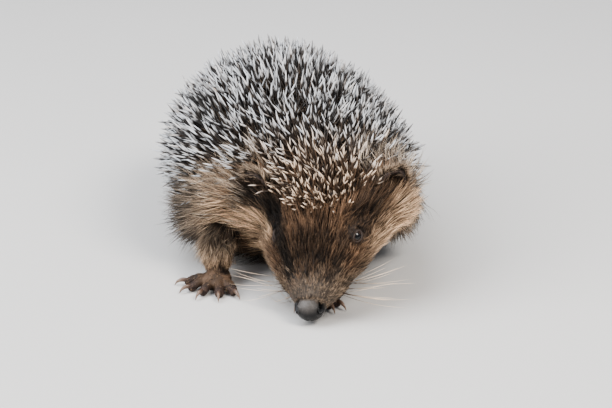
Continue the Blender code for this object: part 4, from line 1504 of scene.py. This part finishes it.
earFur = {
    **shortHair, "seed": 61, "perMm": 4.6, "length": 4.6, "lengthSway": 0.18,
    "width": 0.085, "rise": 26, "riseSway": 9, "sway": 18, "loose": 0.1, "spread": 0.3, "sink": 0.2,
    "reach": (6.4, 5.5, 7.8), "inside": 0.06, "behind": (-0.55, 0.2),  # little grows inside the cup
    "marks": {"cream": 0.45, "ash": 0.3, "dun": 0.2}, "dusk": (0.25, 0.15),
}


def makeEarFur(skin, finish):
    s = earFur

    def weightOf(points, normals):
        weight, off = np.zeros(len(points)), onBody(points)[2]
        for side in bothSides:
            behind = blendShare(-(normals @ earFrame(side)[1][:, 1]), *s["behind"])
            within = earReach(points, side, s["reach"]) < 1
            weight = np.maximum(weight, within * (s["inside"] + behind) * (off > 0.4))
        return weight

    point, normal, dice = scatterOnSkin(skin, weightOf, s["perMm"], s["seed"])
    n = len(point)
    lie, place = np.zeros((n, 3)), np.zeros((n, 2))
    for k, side in enumerate(bothSides):
        centre, axes = earFrame(side)
        local = (point - centre) @ axes
        mine = (lengthOf(local) < 12)[:, None]
        fanned = unit(axes[:, 2] * 0.8 - axes[:, 1] * 0.35 + (local[:, :1] / 6) * axes[:, 0] * 0.8)
        mapped = np.stack([(k + 0.5 + local[:, 0] / 15) / 2, 0.5 + local[:, 2] / 17], 1)
        lie, place = np.where(mine, fanned, lie), np.where(mine, mapped, place)
    length = s["length"] * (1 + dice.normal(0, s["lengthSway"], n))
    marks = {name: np.full(n, value) for name, value in s["marks"].items()}
    marks["dusk"] = np.clip(dice.normal(*s["dusk"], n), 0, 1)
    return growTufts("earFur", s, point, normal, laidFlat(lie, normal), length, finish, dice,
                     onMap(place), marks)


lidFur = {
    **shortHair, "seed": 91, "perMm": 6.0, "length": (1.5, 4.6), "lengthSway": 0.12,
    "width": 0.085, "rise": 19, "riseSway": 6, "sway": 14, "loose": 0.08, "spread": 0.25, "sink": 0.15,
    "reach": 8.2, "soft": 2.5, "eyeGap": (4, 1.45), "lengthReach": (2.8, 7.5), "part": 0.7,
    "partReach": (3, 6),
}


# short hair over the lids, parting round the eye
def makeLidFur(skin, finish):
    s = lidFur

    def weightOf(points, _):
        weight = np.zeros(len(points))
        for side in bothSides:
            _, r, theta, opening = roundEye(points, side)
            outside = (r > s["eyeGap"][0]) | (theta > opening * s["eyeGap"][1])
            weight = np.maximum(weight, fadeShare(r, s["reach"] - s["soft"], s["reach"]) * outside)
        return weight

    point, normal, dice = scatterOnSkin(skin, weightOf, s["perMm"], s["seed"])
    away, place = np.zeros((len(point), 3)), np.zeros((len(point), 2))
    for k, side in enumerate(bothSides):
        centre, looks, along, over = eyeFrame(side)
        d = point - centre
        mine = (lengthOf(d) < s["reach"] + 1)[:, None]
        away = np.where(mine, unit(d - looks * (d @ looks)[:, None]), away)
        local = np.stack([d @ along, d @ over], 1) / (s["reach"] * 2.1)
        place = np.where(mine, (local + 0.5 + (k, 0)) / (2, 1), place)
    near = eyeNearness(point)
    lie = laidFlat(unit(headAxes[:, 1] + away * (s["part"] * fadeShare(near, *s["partReach"]))[:, None]),
                   normal)
    length = between(s["length"], blendShare(near, *s["lengthReach"]))
    length = length * (1 + dice.normal(0, s["lengthSway"], len(point)))
    marks = markingsAt(point, *onBody(point)[:2])
    return growTufts("lidFur", s, point, normal, lie, length, finish, dice, onMap(place), marks)


whiskerSettings = {
    "seed": 71, "perSide": 16, "length": (15, 27), "radius": 0.08, "sides": 5, "flat": 1.0, "sink": 0.5,
    "stations": (0, 0.15, 0.32, 0.5, 0.68, 0.85, 1), "profile": (1.0, 1.0, 0.9, 0.75, 0.55, 0.35, 0),
    "along": (8.5, 15), "lift": (-38, 12), "back": (0.35, 0.7), "droop": (0.1, 0.45), "sway": 0.12,
    "marks": {"cream": 0.7, "ash": 0.0, "dun": 0.5, "dusk": 0.0},
}


def makeWhiskers(finish):
    s = whiskerSettings
    dice = np.random.default_rng(s["seed"])
    n = s["perSide"] * 2
    along = between(s["along"], dice.random(n))
    lift = np.radians(between(s["lift"], dice.random(n)))
    around = np.where(np.tile((True, False), s["perSide"]), lift, np.pi - lift)
    point, normal, back = skinFrame(along, around)
    ways = normal * 0.95 + back * between(s["back"], dice.random((n, 1))) + dice.normal(0, s["sway"], (n, 3))
    ways = unit(ways)
    endWays = unit(ways + back * 0.7 - up * between(s["droop"], dice.random((n, 1))))
    lengths = between(s["length"], dice.random(n))
    marks = {"shade": between((0.7, 1), dice.random(n)),
             **{key: np.full(n, v) for key, v in s["marks"].items()}}
    data = {"roots": point - normal * s["sink"], "ways": ways, "endWays": endWays, "lengths": lengths,
            "widths": np.full(n, s["radius"]), "normals": normal, "patches": patchesAt(along, around),
            "cells": np.tile((0.0, 1.0), (n, 1)), "marks": marks}
    return addStrands("whiskers", s, finish, data)


skin = makeSkin()
makeEyes()
makeClaws()
hair, horn = furFinish(), quillFinish()
coatFaces = makeQuills(horn)
coatFaces += makeFaceFur(hair)
coatFaces += makeFlankFur(hair)
coatFaces += makeRuff(hair)
coatFaces += makeBellyFur(hair)
coatFaces += makeLegFur(skin, hair)
coatFaces += makeEarFur(skin, hair)
coatFaces += makeLidFur(skin, hair)
coatFaces += makeWhiskers(hair)
print("coat:", coatFaces, "faces")


studio = {
    "floorSize": 14.0, "floorTone": ((0.60, 0.585, 0.56), (0.66, 0.645, 0.62)),
    "sky": (0.86, 0.90, 1.0), "skyStrength": 0.5,
    "lamps": {  # place round the model and height in metres, size, power in watts and colour
        "keyLamp": ((0.45, -0.55, 0.85), 0.5, 10.2, (1.0, 0.955, 0.90)),
        "topLamp": ((-0.35, 0.05, 1.1), 0.9, 9.0, (0.90, 0.94, 1.0)),
        "sideLamp": ((-0.8, -0.30, 0.6), 0.8, 10.0, (0.97, 0.98, 1.0)),
    },
}


def makeStudio():
    half = studio["floorSize"] / 2
    mesh = bpy.data.meshes.new("floor")
    mesh.from_pydata([(-half, -half, 0), (half, -half, 0), (half, half, 0), (-half, half, 0)], [],
                     [(0, 1, 2, 3)])
    made, tree, shader = newFinish("paleFloor")
    tone = mixed(tree, noise(tree, objectPlace(tree), 3.0), *studio["floorTone"])
    fill(tree, shader, {"Base Color": tone, "Roughness": 0.8})
    mesh.materials.append(made)
    floor = bpy.data.objects.new("floor", mesh)
    bpy.context.scene.collection.objects.link(floor)
    world = bpy.data.worlds.new("studio")
    world.use_nodes = True
    backdrop = world.node_tree.nodes["Background"]
    backdrop.inputs[0].default_value = (*studio["sky"], 1)
    backdrop.inputs[1].default_value = studio["skyStrength"]
    bpy.context.scene.world = world
    bpy.context.scene.view_settings.look = "AgX - Medium High Contrast"
    aim = Vector((0, 0, 0.03))
    for name, (at, size, power, colour) in studio["lamps"].items():
        lamp = bpy.data.lights.new(name, "AREA")
        lamp.shape, lamp.size, lamp.energy, lamp.color = "DISK", size, power, colour
        holder = bpy.data.objects.new(name, lamp)
        holder.location = at
        holder.rotation_euler = (Vector(at) - aim).to_track_quat("Z", "Y").to_euler()
        bpy.context.scene.collection.objects.link(holder)


cameraSettings = {
    "azimuth": -9.0, "elevation": 21.0, "distance": 0.560, "lens": 100.0,
    "aimFromNose": (0.0009, 0.0139, 0.0312),
}


def makeCamera():
    s = cameraSettings
    low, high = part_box("nose")
    aim = (low + high) / 2 + Vector(s["aimFromNose"])
    a, e = math.radians(s["azimuth"]), math.radians(s["elevation"])
    back = Vector((math.sin(a) * math.cos(e), -math.cos(a) * math.cos(e), math.sin(e)))
    camera = bpy.data.objects.new("camera", bpy.data.cameras.new("camera"))
    camera.data.lens, camera.data.sensor_width = s["lens"], 36.0
    camera.data.clip_start = 0.01
    camera.location = aim + back * s["distance"]
    camera.rotation_euler = back.to_track_quat("Z", "Y").to_euler()
    bpy.context.scene.collection.objects.link(camera)
    bpy.context.scene.camera = camera


makeStudio()
makeCamera()
print("scene ready")
